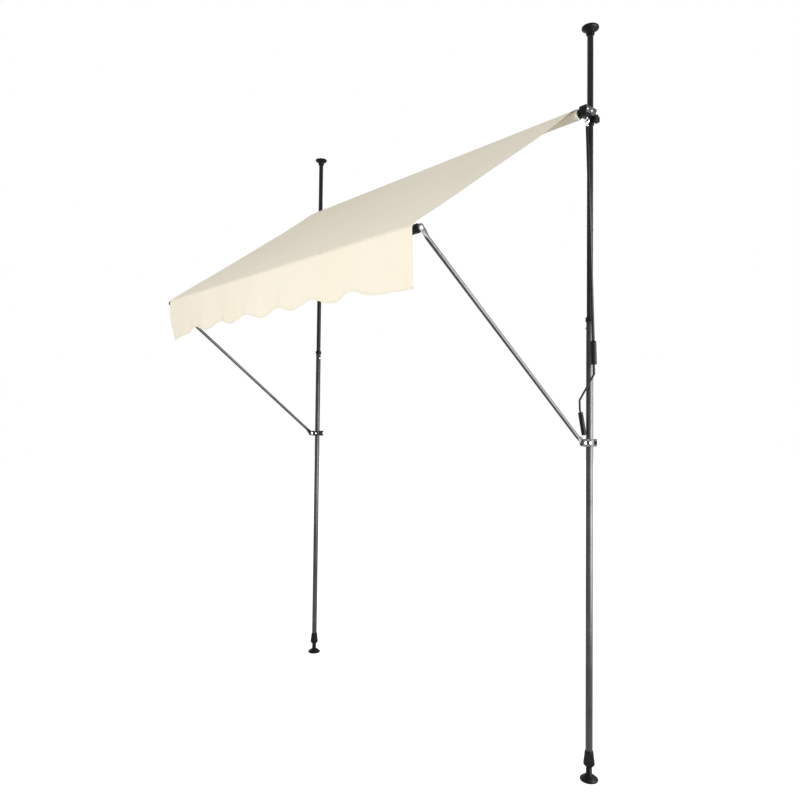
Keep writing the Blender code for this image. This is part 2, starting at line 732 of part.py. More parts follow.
def make_roller():
    """The roller tube with the turns wound on it, its flanged end plugs and the worm wheel."""
    pivot = axis_empty("roller_axis", (0, PIVOT_Y, ROLLER_HEIGHT))
    centre = (0, PIVOT_Y, ROLLER_HEIGHT)
    half = POLE_X - ROLLER_END
    tube("roller_tube", ROLLER_TUBE_RADIUS, ROLLER_TUBE_WALL, -half, half, ZINC, centre, ALONG_X, pivot)
    tube(
        "cloth_roll",
        ROLL_RADIUS,
        CLOTH_TURNS,
        -CLOTH_HALF_WIDTH,
        CLOTH_HALF_WIDTH,
        CREAM_CLOTH,
        centre,
        ALONG_X,
        pivot,
        steps=28,
    )
    bore = ROLLER_TUBE_RADIUS - ROLLER_TUBE_WALL - GAP
    wheel_inner = WHEEL_X - WHEEL_WIDTH / 2
    for side, label in ((1, "right"), (-1, "left")):
        shaft_end = GEAR_CASE_HALF_WIDTH - GEAR_WALL - 2 * GAP if side > 0 else -CLAMP_SPLIT
        turned(
            f"{label}_roller_plug",
            [
                (0, shaft_end),
                (SHAFT_RADIUS, shaft_end),
                (SHAFT_RADIUS, -PLUG_OUTER_FACE),
                (PLUG_RADIUS - PAD_CHAMFER, -PLUG_OUTER_FACE),
                (PLUG_RADIUS, -PLUG_OUTER_FACE - PAD_CHAMFER),
                (PLUG_RADIUS, -PLUG_OUTER_FACE - PLUG_FLANGE),
                (bore, -PLUG_OUTER_FACE - PLUG_FLANGE),
                (bore, -PLUG_OUTER_FACE - PLUG_FLANGE - PLUG_SPIGOT),
                (0, -PLUG_OUTER_FACE - PLUG_FLANGE - PLUG_SPIGOT),
            ],
            BLACK_PLASTIC,
            (side * POLE_X, PIVOT_Y, ROLLER_HEIGHT),
            side_turn(side),
            pivot,
        )
    tube(
        "worm_wheel",
        WHEEL_RADIUS,
        WHEEL_RADIUS - SHAFT_RADIUS - GAP,
        wheel_inner,
        wheel_inner + WHEEL_WIDTH,
        GEAR_METAL,
        (POLE_X, PIVOT_Y, ROLLER_HEIGHT),
        ALONG_X,
        pivot,
    )


def make_roller_clamp(side, label):
    """The clamp on the upper tube that carries one end of the roller, its bolts, stop collar and hand knob."""
    x = side * POLE_X
    z = GEAR_CLAMP_Z if side > 0 else ROLLER_HEIGHT
    groove = UPPER_TUBE_RADIUS + GAP
    through = 6 * ROLLER_CLAMP_DEPTH
    for half, which in ((1, "outer"), (-1, "inner")):
        name = f"{label}_roller_clamp_{which}"
        depth = ROLLER_CLAMP_DEPTH if half > 0 else GEAR_CASE_HALF_WIDTH
        piece = clamp_block(
            name,
            side,
            half,
            depth,
            CLAMP_FRONT,
            ROLLER_CLAMP_REAR,
            ROLLER_CLAMP_HEIGHT,
            z,
            SATIN_GREY if half > 0 else ANTHRACITE,
        )
        if half > 0 and side > 0:
            add_gear_ear(piece, name, x)
        if half < 0 and side < 0:
            add_idler_boss(piece, name, x)
        bore = drum_mesh(groove, 2 * ROLLER_CLAMP_HEIGHT, ROUND_STEPS)
        boolean(piece, cutter(f"{name}_groove", bore, (x, 0, z)))
        for place_y in (-ROLLER_BOLT_FRONT_Y, ROLLER_BOLT_REAR_Y):
            hole = drum_mesh(ROLLER_BOLT_RADIUS + GAP, through, SMALL_STEPS)
            boolean(piece, cutter(f"{name}_bolt_hole", hole, (x, place_y, z), ALONG_X))
    length = ROLLER_CLAMP_DEPTH + GEAR_CASE_HALF_WIDTH
    for place_y, which in ((-ROLLER_BOLT_FRONT_Y, "front"), (ROLLER_BOLT_REAR_Y, "rear")):
        bolt(
            f"{label}_roller_clamp_bolt_{which}",
            side,
            ROLLER_CLAMP_DEPTH,
            place_y,
            z,
            ROLLER_BOLT_RADIUS,
            length,
        )
    make_stop_collar(side, label, z - STOP_COLLAR_DEPTH)


def add_gear_ear(piece, name, x):
    """The plate that runs forward from the outer half, over the gear cover, with the hole for its bolt."""
    size = (EAR_PLATE, CLAMP_FRONT - EAR_FRONT + CLAMP_EDGE, 0.7 * ROLLER_CLAMP_HEIGHT)
    place = (
        x + ROLLER_CLAMP_DEPTH - EAR_PLATE / 2,
        (EAR_FRONT + CLAMP_FRONT + CLAMP_EDGE) / 2,
        GEAR_CLAMP_Z,
    )
    boolean(piece, cutter(f"{name}_ear", block_mesh(size), place), "UNION")
    hole = drum_mesh(ROLLER_BOLT_RADIUS + GAP, 4 * EAR_PLATE, SMALL_STEPS)
    boolean(piece, cutter(f"{name}_ear_hole", hole, (place[0], PIVOT_Y, GEAR_CLAMP_Z), ALONG_X))


def add_idler_boss(piece, name, x):
    """The bearing block in front of the inner half on the idle side, with the bore for the plug's shaft."""
    bottom = ROLLER_HEIGHT - PLUG_RADIUS + CLAMP_EDGE
    top = ROLLER_HEIGHT + ROLLER_CLAMP_HEIGHT / 2 - CLAMP_EDGE
    front = PIVOT_Y - PLUG_RADIUS + CLAMP_EDGE
    inner = GEAR_CASE_HALF_WIDTH
    outer = CLAMP_SPLIT / 2
    size = (inner - outer, CLAMP_FRONT + CLAMP_EDGE - front, top - bottom)
    place = (
        x + (inner + outer) / 2,
        (front + CLAMP_FRONT + CLAMP_EDGE) / 2,
        (top + bottom) / 2,
    )
    boolean(piece, cutter(f"{name}_boss", block_mesh(size), place), "UNION")
    bore = drum_mesh(SHAFT_RADIUS + GAP, 4 * inner)
    boolean(piece, cutter(f"{name}_bore", bore, (place[0], PIVOT_Y, ROLLER_HEIGHT), ALONG_X))


def star_mesh():
    """A lobed hand knob along its own Z, from a drum whose rim is waved."""
    mesh = bpy.data.meshes.new("star")
    shape = bmesh.new()
    bmesh.ops.create_cone(
        shape,
        cap_ends=True,
        segments=6 * KNOB_LOBES,
        radius1=KNOB_RADIUS,
        radius2=KNOB_RADIUS,
        depth=KNOB_THICKNESS,
    )
    for vertex in shape.verts:
        angle = math.atan2(vertex.co.y, vertex.co.x)
        share = 0.90 + 0.10 * math.cos(KNOB_LOBES * angle)
        vertex.co.x *= share
        vertex.co.y *= share
    shape.to_mesh(mesh)
    shape.free()
    return mesh


def make_stop_collar(side, label, z):
    """A collar under the roller clamp, with the star knob whose screw holds it on the tube."""
    x = side * POLE_X
    name = f"{label}_stop_collar"
    half_height = STOP_COLLAR_HEIGHT / 2
    collar = tube(
        name,
        STOP_COLLAR_RADIUS,
        STOP_COLLAR_RADIUS - UPPER_TUBE_RADIUS - GAP,
        -half_height,
        half_height,
        BLACK_PLASTIC,
        (x, 0, z),
    )
    boss_length = KNOB_STANDOFF - GAP - STOP_COLLAR_RADIUS + COLLAR_BOSS_ROOT
    boss = drum_mesh(COLLAR_BOSS_RADIUS, boss_length)
    boss_x = x + side * (KNOB_STANDOFF - GAP - boss_length / 2)
    boolean(collar, cutter(f"{name}_boss", boss, (boss_x, 0, z), ALONG_X), "UNION")
    screw_tip = UPPER_TUBE_RADIUS + GAP
    hole_length = KNOB_STANDOFF
    hole = drum_mesh(KNOB_SCREW_RADIUS + GAP, hole_length, SMALL_STEPS)
    hole_x = x + side * (KNOB_STANDOFF + screw_tip) / 2
    boolean(collar, cutter(f"{name}_hole", hole, (hole_x, 0, z), ALONG_X))

    pivot = axis_empty(f"{label}_knob_axis", (x, 0, z))
    knob_x = x + side * (KNOB_STANDOFF + KNOB_THICKNESS / 2)
    knob = add(
        f"{label}_star_knob",
        star_mesh(),
        BLACK_PLASTIC,
        (knob_x, 0, z),
        side_turn(side),
        pivot,
    )
    screw_root = KNOB_STANDOFF + KNOB_THICKNESS / 2
    screw = drum_mesh(KNOB_SCREW_RADIUS, screw_root - screw_tip, SMALL_STEPS)
    screw_x = x + side * (screw_root + screw_tip) / 2
    boolean(knob, cutter(f"{label}_knob_screw", screw, (screw_x, 0, z), ALONG_X), "UNION")


def gear_case_outline(margin):
    """Outline in Y and Z of the gear case, grown from the gears by this margin, as a list of points."""
    radius = WHEEL_RADIUS + GEAR_PLAY + margin
    back = WORM_Y + WORM_RADIUS + GEAR_PLAY + margin
    top = ROLLER_HEIGHT + GEAR_CASE_TOP - GEAR_WALL + margin
    shoulder = radius
    steps = 5
    lower = [
        (PIVOT_Y - radius * math.sin(angle), ROLLER_HEIGHT - radius * math.cos(angle))
        for angle in [i * math.pi / 2 / steps for i in range(steps + 1)]
    ]
    rounding = [
        (
            PIVOT_Y - radius + shoulder * (1 - math.cos(angle)),
            top - shoulder + shoulder * math.sin(angle),
        )
        for angle in [i * math.pi / 2 / steps for i in range(steps + 1)]
    ]
    return [(back, ROLLER_HEIGHT - radius)] + lower + rounding + [(back, top)]


def prism_mesh(outline, thickness):
    """A flat outline in Y and Z, made solid along X by a 2D curve with an extrude."""
    curve = bpy.data.curves.new("outline", "CURVE")
    curve.dimensions = "2D"
    curve.fill_mode = "BOTH"
    curve.extrude = thickness / 2
    spline = curve.splines.new("POLY")
    spline.points.add(len(outline) - 1)
    for point, (y, z) in zip(spline.points, outline):
        point.co = (y, z, 0, 1)
    spline.use_cyclic_u = True
    holder = bpy.data.objects.new("outline", curve)
    bpy.context.scene.collection.objects.link(holder)
    bpy.context.view_layer.update()
    evaluated = holder.evaluated_get(bpy.context.evaluated_depsgraph_get())
    mesh = bpy.data.meshes.new_from_object(evaluated)
    bpy.data.objects.remove(holder, do_unlink=True)
    bpy.data.curves.remove(curve)
    shape = bmesh.new()
    shape.from_mesh(mesh)
    bmesh.ops.remove_doubles(shape, verts=shape.verts, dist=0.00001)
    upright = Matrix(((0, 0, 1, 0), (1, 0, 0, 0), (0, 1, 0, 0), (0, 0, 0, 1)))
    bmesh.ops.transform(shape, matrix=upright, verts=shape.verts)
    bmesh.ops.recalc_face_normals(shape, faces=shape.faces)
    shape.to_mesh(mesh)
    shape.free()
    return mesh


def make_gear():
    """The winding gear on the right side: its case and cover, and the worm whose shaft ends in the chrome eye."""
    x = POLE_X
    half = GEAR_CASE_HALF_WIDTH
    cover_thickness = GEAR_WALL
    cover_face = half - cover_thickness - GAP
    case_length = cover_face + half
    case = add("gear_case", prism_mesh(gear_case_outline(GEAR_WALL), case_length), BLACK_PLASTIC)
    case.location = (x + (cover_face - half) / 2, 0, 0)
    wheel_bore = (x - half, PIVOT_Y, ROLLER_HEIGHT)
    shaft_radius = WORM_SHAFT_RADIUS
    floor_z = ROLLER_HEIGHT - WHEEL_RADIUS - GEAR_PLAY - GEAR_WALL
    worm_x = x + WHEEL_X
    shaft_hole = (worm_x, WORM_Y, floor_z)
    cross_hole(case, "worm_shaft_hole", shaft_radius + GAP, 6 * GEAR_WALL, shaft_hole, (0, 0, 0))
    cavity = prism_mesh(gear_case_outline(0.0), 2 * half)
    boolean(case, cutter("gear_cavity", cavity, (x + GEAR_WALL, 0, 0)))
    cross_hole(case, "gear_shaft_hole", SHAFT_RADIUS + GAP, 4 * GEAR_WALL, wheel_bore)

    cover = add("gear_cover", prism_mesh(gear_case_outline(GEAR_WALL), cover_thickness), BLACK_PLASTIC)
    cover.location = (x + half - cover_thickness / 2, 0, 0)
    ear_hole = (x + half, PIVOT_Y, GEAR_CLAMP_Z)
    cross_hole(cover, "ear_bolt_hole", ROLLER_BOLT_RADIUS + GAP, 4 * GEAR_WALL, ear_hole)
    bolt(
        "right_roller_clamp_bolt_ear",
        1,
        ROLLER_CLAMP_DEPTH,
        PIVOT_Y,
        GEAR_CLAMP_Z,
        ROLLER_BOLT_RADIUS,
        EAR_PLATE + GEAR_WALL + 2 * GAP,
    )

    worm_bottom = ROLLER_HEIGHT - WORM_LENGTH / 2
    worm_top = ROLLER_HEIGHT + WORM_LENGTH / 2
    shaft_top = ROLLER_HEIGHT + GEAR_CASE_TOP - GEAR_WALL - GAP
    shaft_bottom = RING_Z + RING_RADIUS
    worm = turned(
        "worm_shaft",
        [
            (0, shaft_top),
            (shaft_radius, shaft_top),
            (shaft_radius, worm_top),
            (WORM_RADIUS, worm_top),
            (WORM_RADIUS, worm_bottom),
            (shaft_radius, worm_bottom),
            (shaft_radius, shaft_bottom),
            (0, shaft_bottom),
        ],
        CHROME,
        (worm_x, WORM_Y, 0),
        steps=16,
    )
    bpy.ops.mesh.primitive_torus_add(
        major_segments=20, minor_segments=8, major_radius=RING_RADIUS, minor_radius=RING_WIRE
    )
    torus = bpy.context.active_object
    ring = torus.data
    bpy.data.objects.remove(torus, do_unlink=True)
    boolean(worm, cutter("worm_eye", ring, (worm_x, WORM_Y, RING_Z), ALONG_Y), "UNION")


def rod_mesh(points, radius, closed=False):
    """A bent rod: a poly curve through the points with a round section, as a closed mesh."""
    curve = bpy.data.curves.new("rod", "CURVE")
    curve.dimensions = "3D"
    curve.bevel_depth = radius
    curve.bevel_resolution = 2
    curve.use_fill_caps = True
    spline = curve.splines.new("POLY")
    spline.points.add(len(points) - 1)
    for slot, place in zip(spline.points, points):
        slot.co = (*place, 1)
    spline.use_cyclic_u = closed
    holder = bpy.data.objects.new("rod", curve)
    bpy.context.scene.collection.objects.link(holder)
    bpy.context.view_layer.update()
    evaluated = holder.evaluated_get(bpy.context.evaluated_depsgraph_get())
    mesh = bpy.data.meshes.new_from_object(evaluated)
    bpy.data.objects.remove(holder, do_unlink=True)
    bpy.data.curves.remove(curve)
    shape = bmesh.new()
    shape.from_mesh(mesh)
    bmesh.ops.remove_doubles(shape, verts=shape.verts, dist=0.00001)
    bmesh.ops.recalc_face_normals(shape, faces=shape.faces)
    shape.to_mesh(mesh)
    shape.free()
    return mesh


def rounded(points, bend):
    """The points of a path with each inner corner rounded off by a short curve."""
    path = [Vector(points[0])]
    for before, corner, after in zip(points, points[1:], points[2:]):
        corner = Vector(corner)
        start = corner + (Vector(before) - corner).normalized() * bend
        end = corner + (Vector(after) - corner).normalized() * bend
        for share in (0.0, 0.33, 0.67, 1.0):
            near = start.lerp(corner, share)
            far = corner.lerp(end, share)
            path.append(near.lerp(far, share))
    path.append(Vector(points[-1]))
    return path


def make_crank():
    """The crank that hangs in the eye: a hooked rod with a hand grip, and a cranked tail with the turning grip."""
    pivot = axis_empty("crank_axis", (POLE_X + WHEEL_X, WORM_Y, HOOK_Z))
    lean = (0, -CRANK_LEAN, 0)
    pivot.rotation_euler = lean
    bend_top = -CRANK_ROD_LENGTH - CRANK_TAIL_DROP
    bend_bottom = bend_top - CRANK_BEND_HEIGHT
    handle_top = bend_bottom - CRANK_HANDLE_DROP
    grip_shift = math.sin(LOWER_GRIP_LEAN)
    grip_fall = math.cos(LOWER_GRIP_LEAN)
    tail_inside = CRANK_BEND + LOWER_GRIP_LENGTH - 2 * CRANK_TAIL_RADIUS
    tail = rounded(
        [
            (0, 0, -CRANK_ROD_LENGTH + CRANK_TAIL_RADIUS),
            (0, 0, bend_top),
            (-CRANK_THROW, 0, bend_bottom),
            (-CRANK_THROW, 0, handle_top),
            (-CRANK_THROW + tail_inside * grip_shift, 0, handle_top - tail_inside * grip_fall),
        ],
        CRANK_BEND,
    )
    rod = add("crank_rod", drum_mesh(CRANK_ROD_RADIUS, CRANK_ROD_LENGTH - HOOK_LENGTH, 16), ANTHRACITE)
    rod.parent = pivot
    rod.location = (0, 0, -(CRANK_ROD_LENGTH + HOOK_LENGTH) / 2)
    tail_piece = rod_mesh(tail, CRANK_TAIL_RADIUS)
    straight = HOOK_LENGTH - 2 * HOOK_HALF_WIDTH
    arc = [i * math.pi / 6 for i in range(7)]
    loop = [
        (0, HOOK_HALF_WIDTH * math.cos(angle), HOOK_HALF_WIDTH * (math.sin(angle) - 1)) for angle in arc
    ] + [
        (0, -HOOK_HALF_WIDTH * math.cos(angle), -HOOK_HALF_WIDTH * (math.sin(angle) + 1) - straight)
        for angle in arc
    ]
    hook = rod_mesh(loop, HOOK_WIRE, closed=True)
    for name, mesh in (("crank_tail", tail_piece), ("crank_hook", hook)):
        boolean(rod, cutter(name, mesh, pivot.location, lean), "UNION")

    half = UPPER_GRIP_LENGTH / 2
    grip_axis = axis_empty("upper_grip_axis", (0, 0, half - CRANK_ROD_LENGTH - GRIP_LIP - GAP))
    grip_axis.parent = pivot
    bore = CRANK_ROD_RADIUS + GAP
    lip_bore = CRANK_TAIL_RADIUS + GAP
    upper = turned(
        "upper_grip",
        [
            (UPPER_GRIP_RADIUS - 2 * PAD_CHAMFER, half),
            (UPPER_GRIP_RADIUS, half - 2 * PAD_CHAMFER),
            (UPPER_GRIP_RADIUS, -half + 2 * PAD_CHAMFER),
            (UPPER_GRIP_RADIUS - 2 * PAD_CHAMFER, -half),
            (lip_bore, -half),
            (lip_bore, -half + GRIP_LIP),
            (bore, -half + GRIP_LIP),
            (bore, half),
        ],
        BLACK_PLASTIC,
        closed=True,
    )
    upper.parent = grip_axis

    handle_axis = axis_empty("lower_grip_axis", (-CRANK_THROW, 0, handle_top))
    handle_axis.parent = pivot
    handle_axis.rotation_euler = (0, -LOWER_GRIP_LEAN, 0)
    mouth = CRANK_TAIL_RADIUS + GAP
    floor_depth = tail_inside + GAP
    top = -CRANK_BEND
    bottom = top - LOWER_GRIP_LENGTH
    groove_top = top - 0.12 * LOWER_GRIP_LENGTH
    lower = turned(
        "lower_grip",
        [
            (0, -floor_depth),
            (mouth, -floor_depth),
            (mouth, top),
            (LOWER_GRIP_RADIUS - 2 * PAD_CHAMFER, top),
            (LOWER_GRIP_RADIUS, top - 2 * PAD_CHAMFER),
            (LOWER_GRIP_RADIUS, groove_top),
            (LOWER_GRIP_RADIUS - PAD_CHAMFER, groove_top - PAD_CHAMFER),
            (LOWER_GRIP_RADIUS, groove_top - 2 * PAD_CHAMFER),
            (LOWER_GRIP_RADIUS, bottom + 3 * PAD_CHAMFER),
            (LOWER_GRIP_RADIUS - 3 * PAD_CHAMFER, bottom),
            (0, bottom),
        ],
        BLACK_PLASTIC,
    )
    lower.parent = handle_axis


def grid_mesh(columns, rows, place):
    """A grid of columns by rows, each point put where place(across, along) says, both shares from 0 to 1."""
    mesh = bpy.data.meshes.new("grid")
    shape = bmesh.new()
    bmesh.ops.create_grid(shape, x_segments=columns, y_segments=rows, size=0.5)
    for vertex in shape.verts:
        vertex.co = place(vertex.co.x + 0.5, vertex.co.y + 0.5)
    bmesh.ops.recalc_face_normals(shape, faces=shape.faces)
    shape.to_mesh(mesh)
    shape.free()
    return mesh


def thicken(piece, thickness, offset):
    """Give an open cloth surface its thickness. offset 1 grows it along its normals, -1 against them."""
    solidify = piece.modifiers.new("cloth", "SOLIDIFY")
    solidify.thickness = thickness
    solidify.offset = offset
    return piece


def canopy_point(across, along):
    """A point on the middle of the canopy: along 0 at the roll, 1 at the front bar's sleeve."""
    start_radius = ROLL_RADIUS + GAP + CLOTH_THICKNESS / 2
    end_radius = SLEEVE_OUTER + GAP + CLOTH_THICKNESS / 2
    run_y = BAR_Y - PIVOT_Y
    run_z = BAR_Z - ROLLER_HEIGHT
    run = math.hypot(run_y, run_z)
    slope = math.atan2(-run_z, -run_y)
    tilt = slope + math.asin((start_radius - end_radius) / run)
    normal = Vector((0, -math.sin(tilt), math.cos(tilt)))
    start = Vector((0, PIVOT_Y, ROLLER_HEIGHT)) + normal * start_radius
    end = Vector((0, BAR_Y, BAR_Z)) + normal * end_radius
    point = start.lerp(end, along)
    middle = math.sin(math.pi * along) ** 2
    point -= normal * CANOPY_SAG * middle * (0.4 + 0.6 * math.sin(math.pi * across))
    point.x = (2 * across - 1) * CLOTH_HALF_WIDTH
    return point


def scallop(x):
    """Share of the scallop depth by which the hem rises: waved along the bar, straight and low at both ends."""
    reach = min(abs(x), SCALLOP_LOWS * SCALLOP_PITCH)
    return 0.5 - 0.5 * math.cos(2 * math.pi * reach / SCALLOP_PITCH)


def valance_point(across, along):
    """A point on the middle of the valance: a sleeve from under the bar, round its back and over it, then hanging."""
    radius = SLEEVE_INNER + CLOTH_THICKNESS / 2
    over_share = SLEEVE_ROWS / (SLEEVE_ROWS + HANG_ROWS)
    x = (2 * across - 1) * CLOTH_HALF_WIDTH
    if along < over_share:
        angle = math.pi - SLEEVE_WRAP * (1 - along / over_share)
        return Vector((x, BAR_Y + radius * math.cos(angle), BAR_Z + radius * math.sin(angle)))
    fall = (along - over_share) / (1 - over_share)
    length = VALANCE_DROP - SCALLOP_DEPTH * scallop(x)
    wave = VALANCE_WAVE * math.sin(2 * math.pi * x / SCALLOP_PITCH) * fall
    return Vector((x, BAR_Y - radius + wave, BAR_Z - length * fall))


def make_cloth(bar_pivot):
    """The canopy sheet from the roll to the bar, and the sleeve and valance that hang on the bar."""
    canopy = add("canopy", grid_mesh(CANOPY_COLUMNS, CANOPY_ROWS, canopy_point), CREAM_CLOTH)
    thicken(canopy, CLOTH_THICKNESS, 0.0)
    columns = 2 * round(SCALLOP_STEPS * CLOTH_HALF_WIDTH / SCALLOP_PITCH)
    sheet = grid_mesh(columns, SLEEVE_ROWS + HANG_ROWS, valance_point)
    valance = add("valance", sheet, CREAM_CLOTH)
    thicken(valance, CLOTH_THICKNESS, 0.0)
    valance.parent = bar_pivot
    valance.location = -bar_pivot.location


for pole_side, pole_label in ((1, "right"), (-1, "left")):
    make_pole(pole_side, pole_label)
    make_arm_clamp(pole_side, pole_label)
    make_arm(pole_side, pole_label)
    make_roller_clamp(pole_side, pole_label)
bar_axis = make_bar()
make_roller()
make_gear()
make_crank()
make_cloth(bar_axis)
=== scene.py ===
"""Looks of the clamp awning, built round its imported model.

Metres, +Z up, in the frame of the solids: the poles stand at x = -0.95 and x = 0.95 and the cloth
runs out towards -Y. Each sub-assembly is a class that models its own pieces and dresses them with a
finish of the palette.
"""
from __future__ import annotations

import logging
import math
from dataclasses import dataclass
from enum import Enum
from typing import Callable, Iterable, Optional, Sequence

import bmesh
import bpy
import numpy as np
from mathutils import Matrix, Vector

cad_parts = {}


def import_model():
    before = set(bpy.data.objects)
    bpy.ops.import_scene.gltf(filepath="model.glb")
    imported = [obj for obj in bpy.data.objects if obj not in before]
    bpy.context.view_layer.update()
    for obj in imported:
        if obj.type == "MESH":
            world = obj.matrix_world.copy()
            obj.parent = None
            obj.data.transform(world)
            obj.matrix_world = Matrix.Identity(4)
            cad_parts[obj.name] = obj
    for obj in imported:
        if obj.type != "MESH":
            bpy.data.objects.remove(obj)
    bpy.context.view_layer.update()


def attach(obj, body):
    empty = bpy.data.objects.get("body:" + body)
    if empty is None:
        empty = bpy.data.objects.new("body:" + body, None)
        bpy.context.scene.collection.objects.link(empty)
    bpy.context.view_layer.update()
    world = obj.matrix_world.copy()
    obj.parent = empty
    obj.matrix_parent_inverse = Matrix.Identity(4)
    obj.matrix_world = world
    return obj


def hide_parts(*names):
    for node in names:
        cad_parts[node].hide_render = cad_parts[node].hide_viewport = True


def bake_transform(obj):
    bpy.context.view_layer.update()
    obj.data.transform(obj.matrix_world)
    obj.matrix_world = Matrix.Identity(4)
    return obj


LOG = logging.getLogger("awning")

Piece = bpy.types.Object
Colour = tuple[float, float, float]
Place = tuple[float, float, float]

# Places that the solids give
POLE_X = 0.950
PIVOT_Y = -0.045
ROOM_HEIGHT = 3.000
ROLLER_Z = 2.634
ARM_PIVOT_Z = 1.317
ARM_LENGTH = 1.114
ARM_ANGLE = math.radians(37.5)
BAR_Y = PIVOT_Y - ARM_LENGTH * math.cos(ARM_ANGLE)
BAR_Z = ARM_PIVOT_Z + ARM_LENGTH * math.sin(ARM_ANGLE)

GAP = 0.0003  # between pieces that touch
ROUND = 48  # sides of a round piece
WELD = 0.000005  # points closer than this are one
SHARP = 35.0  # degrees from which an edge is beveled
BEND_STEP = 7.5  # degrees of a bend that one face takes
CREASE = 38.0  # degrees from which an edge is shaded sharp
ROUND_CREASE = 50.0  # the same on bent and ribbed pieces
CLOTH_CREASE = 60.0  # the same on cloth and thread
WEAVE_MAP = "weave"
WHITE = (1.0, 1.0, 1.0, 1.0)


class Side(Enum):
    """The two poles, by the direction in which each lies from the middle."""

    RIGHT = 1
    LEFT = -1

    @property
    def label(self) -> str:
        """The side's name in the names of its pieces."""
        return self.name.lower()


class Along(Enum):
    """The direction in which a turned piece's own axis points, as a turn from +Z."""

    OUTWARD = (0.0, math.pi / 2, 0.0)
    INWARD = (0.0, -math.pi / 2, 0.0)
    FORWARD = (math.pi / 2, 0.0, 0.0)


# ---- Shader maths


class Signal:
    """The output of a shader node, which plain Python arithmetic turns into Math nodes."""

    def __init__(self, tree: bpy.types.NodeTree, socket: bpy.types.NodeSocket) -> None:
        """Wrap a socket.

        Args:
            tree: The node tree that the socket is in.
            socket: The output socket.
        """
        self.tree = tree
        self.socket = socket

    def math(self, operation: str, *terms: "Signal | float") -> "Signal":
        """Add a Math node.

        Args:
            operation: The Math node's operation.
            *terms: What goes into its sockets, in order.

        Returns:
            The node's output.
        """
        node = self.tree.nodes.new("ShaderNodeMath")
        node.operation = operation
        for socket, term in zip(node.inputs, terms):
            if isinstance(term, Signal):
                self.tree.links.new(term.socket, socket)
            else:
                socket.default_value = term
        return Signal(self.tree, node.outputs[0])

    def __add__(self, other: "Signal | float") -> "Signal":
        """Sum."""
        return self.math("ADD", self, other)

    def __sub__(self, other: "Signal | float") -> "Signal":
        """Difference."""
        return self.math("SUBTRACT", self, other)

    def __mul__(self, other: "Signal | float") -> "Signal":
        """Product."""
        return self.math("MULTIPLY", self, other)

    def sine(self) -> "Signal":
        """Sine."""
        return self.math("SINE", self)

    def above(self, low: float, high: float) -> "Signal":
        """A smooth step from 0 at low to 1 at high."""
        node = self.tree.nodes.new("ShaderNodeMapRange")
        node.interpolation_type = "SMOOTHSTEP"
        self.tree.links.new(self.socket, node.inputs["Value"])
        node.inputs["From Min"].default_value = low
        node.inputs["From Max"].default_value = high
        return Signal(self.tree, node.outputs[0])


def add_node(
    tree: bpy.types.NodeTree,
    kind: str,
    settings: Optional[dict[str, object]] = None,
    sockets: Optional[dict[str | int, object]] = None,
    output: Optional[str | int] = 0,
) -> Optional[Signal]:
    """Add any node.

    Args:
        tree: The node tree.
        kind: The node's type.
        settings: Attributes set before its sockets.
        sockets: Values or links of its input sockets, by name or index.
        output: Which output is returned, or None where the node has none.

    Returns:
        The node's chosen output, if any.
    """
    node = tree.nodes.new(kind)
    for attribute, value in (settings or {}).items():
        setattr(node, attribute, value)
    for label, value in (sockets or {}).items():
        if isinstance(value, Signal):
            tree.links.new(value.socket, node.inputs[label])
        else:
            node.inputs[label].default_value = value
    return None if output is None else Signal(tree, node.outputs[output])


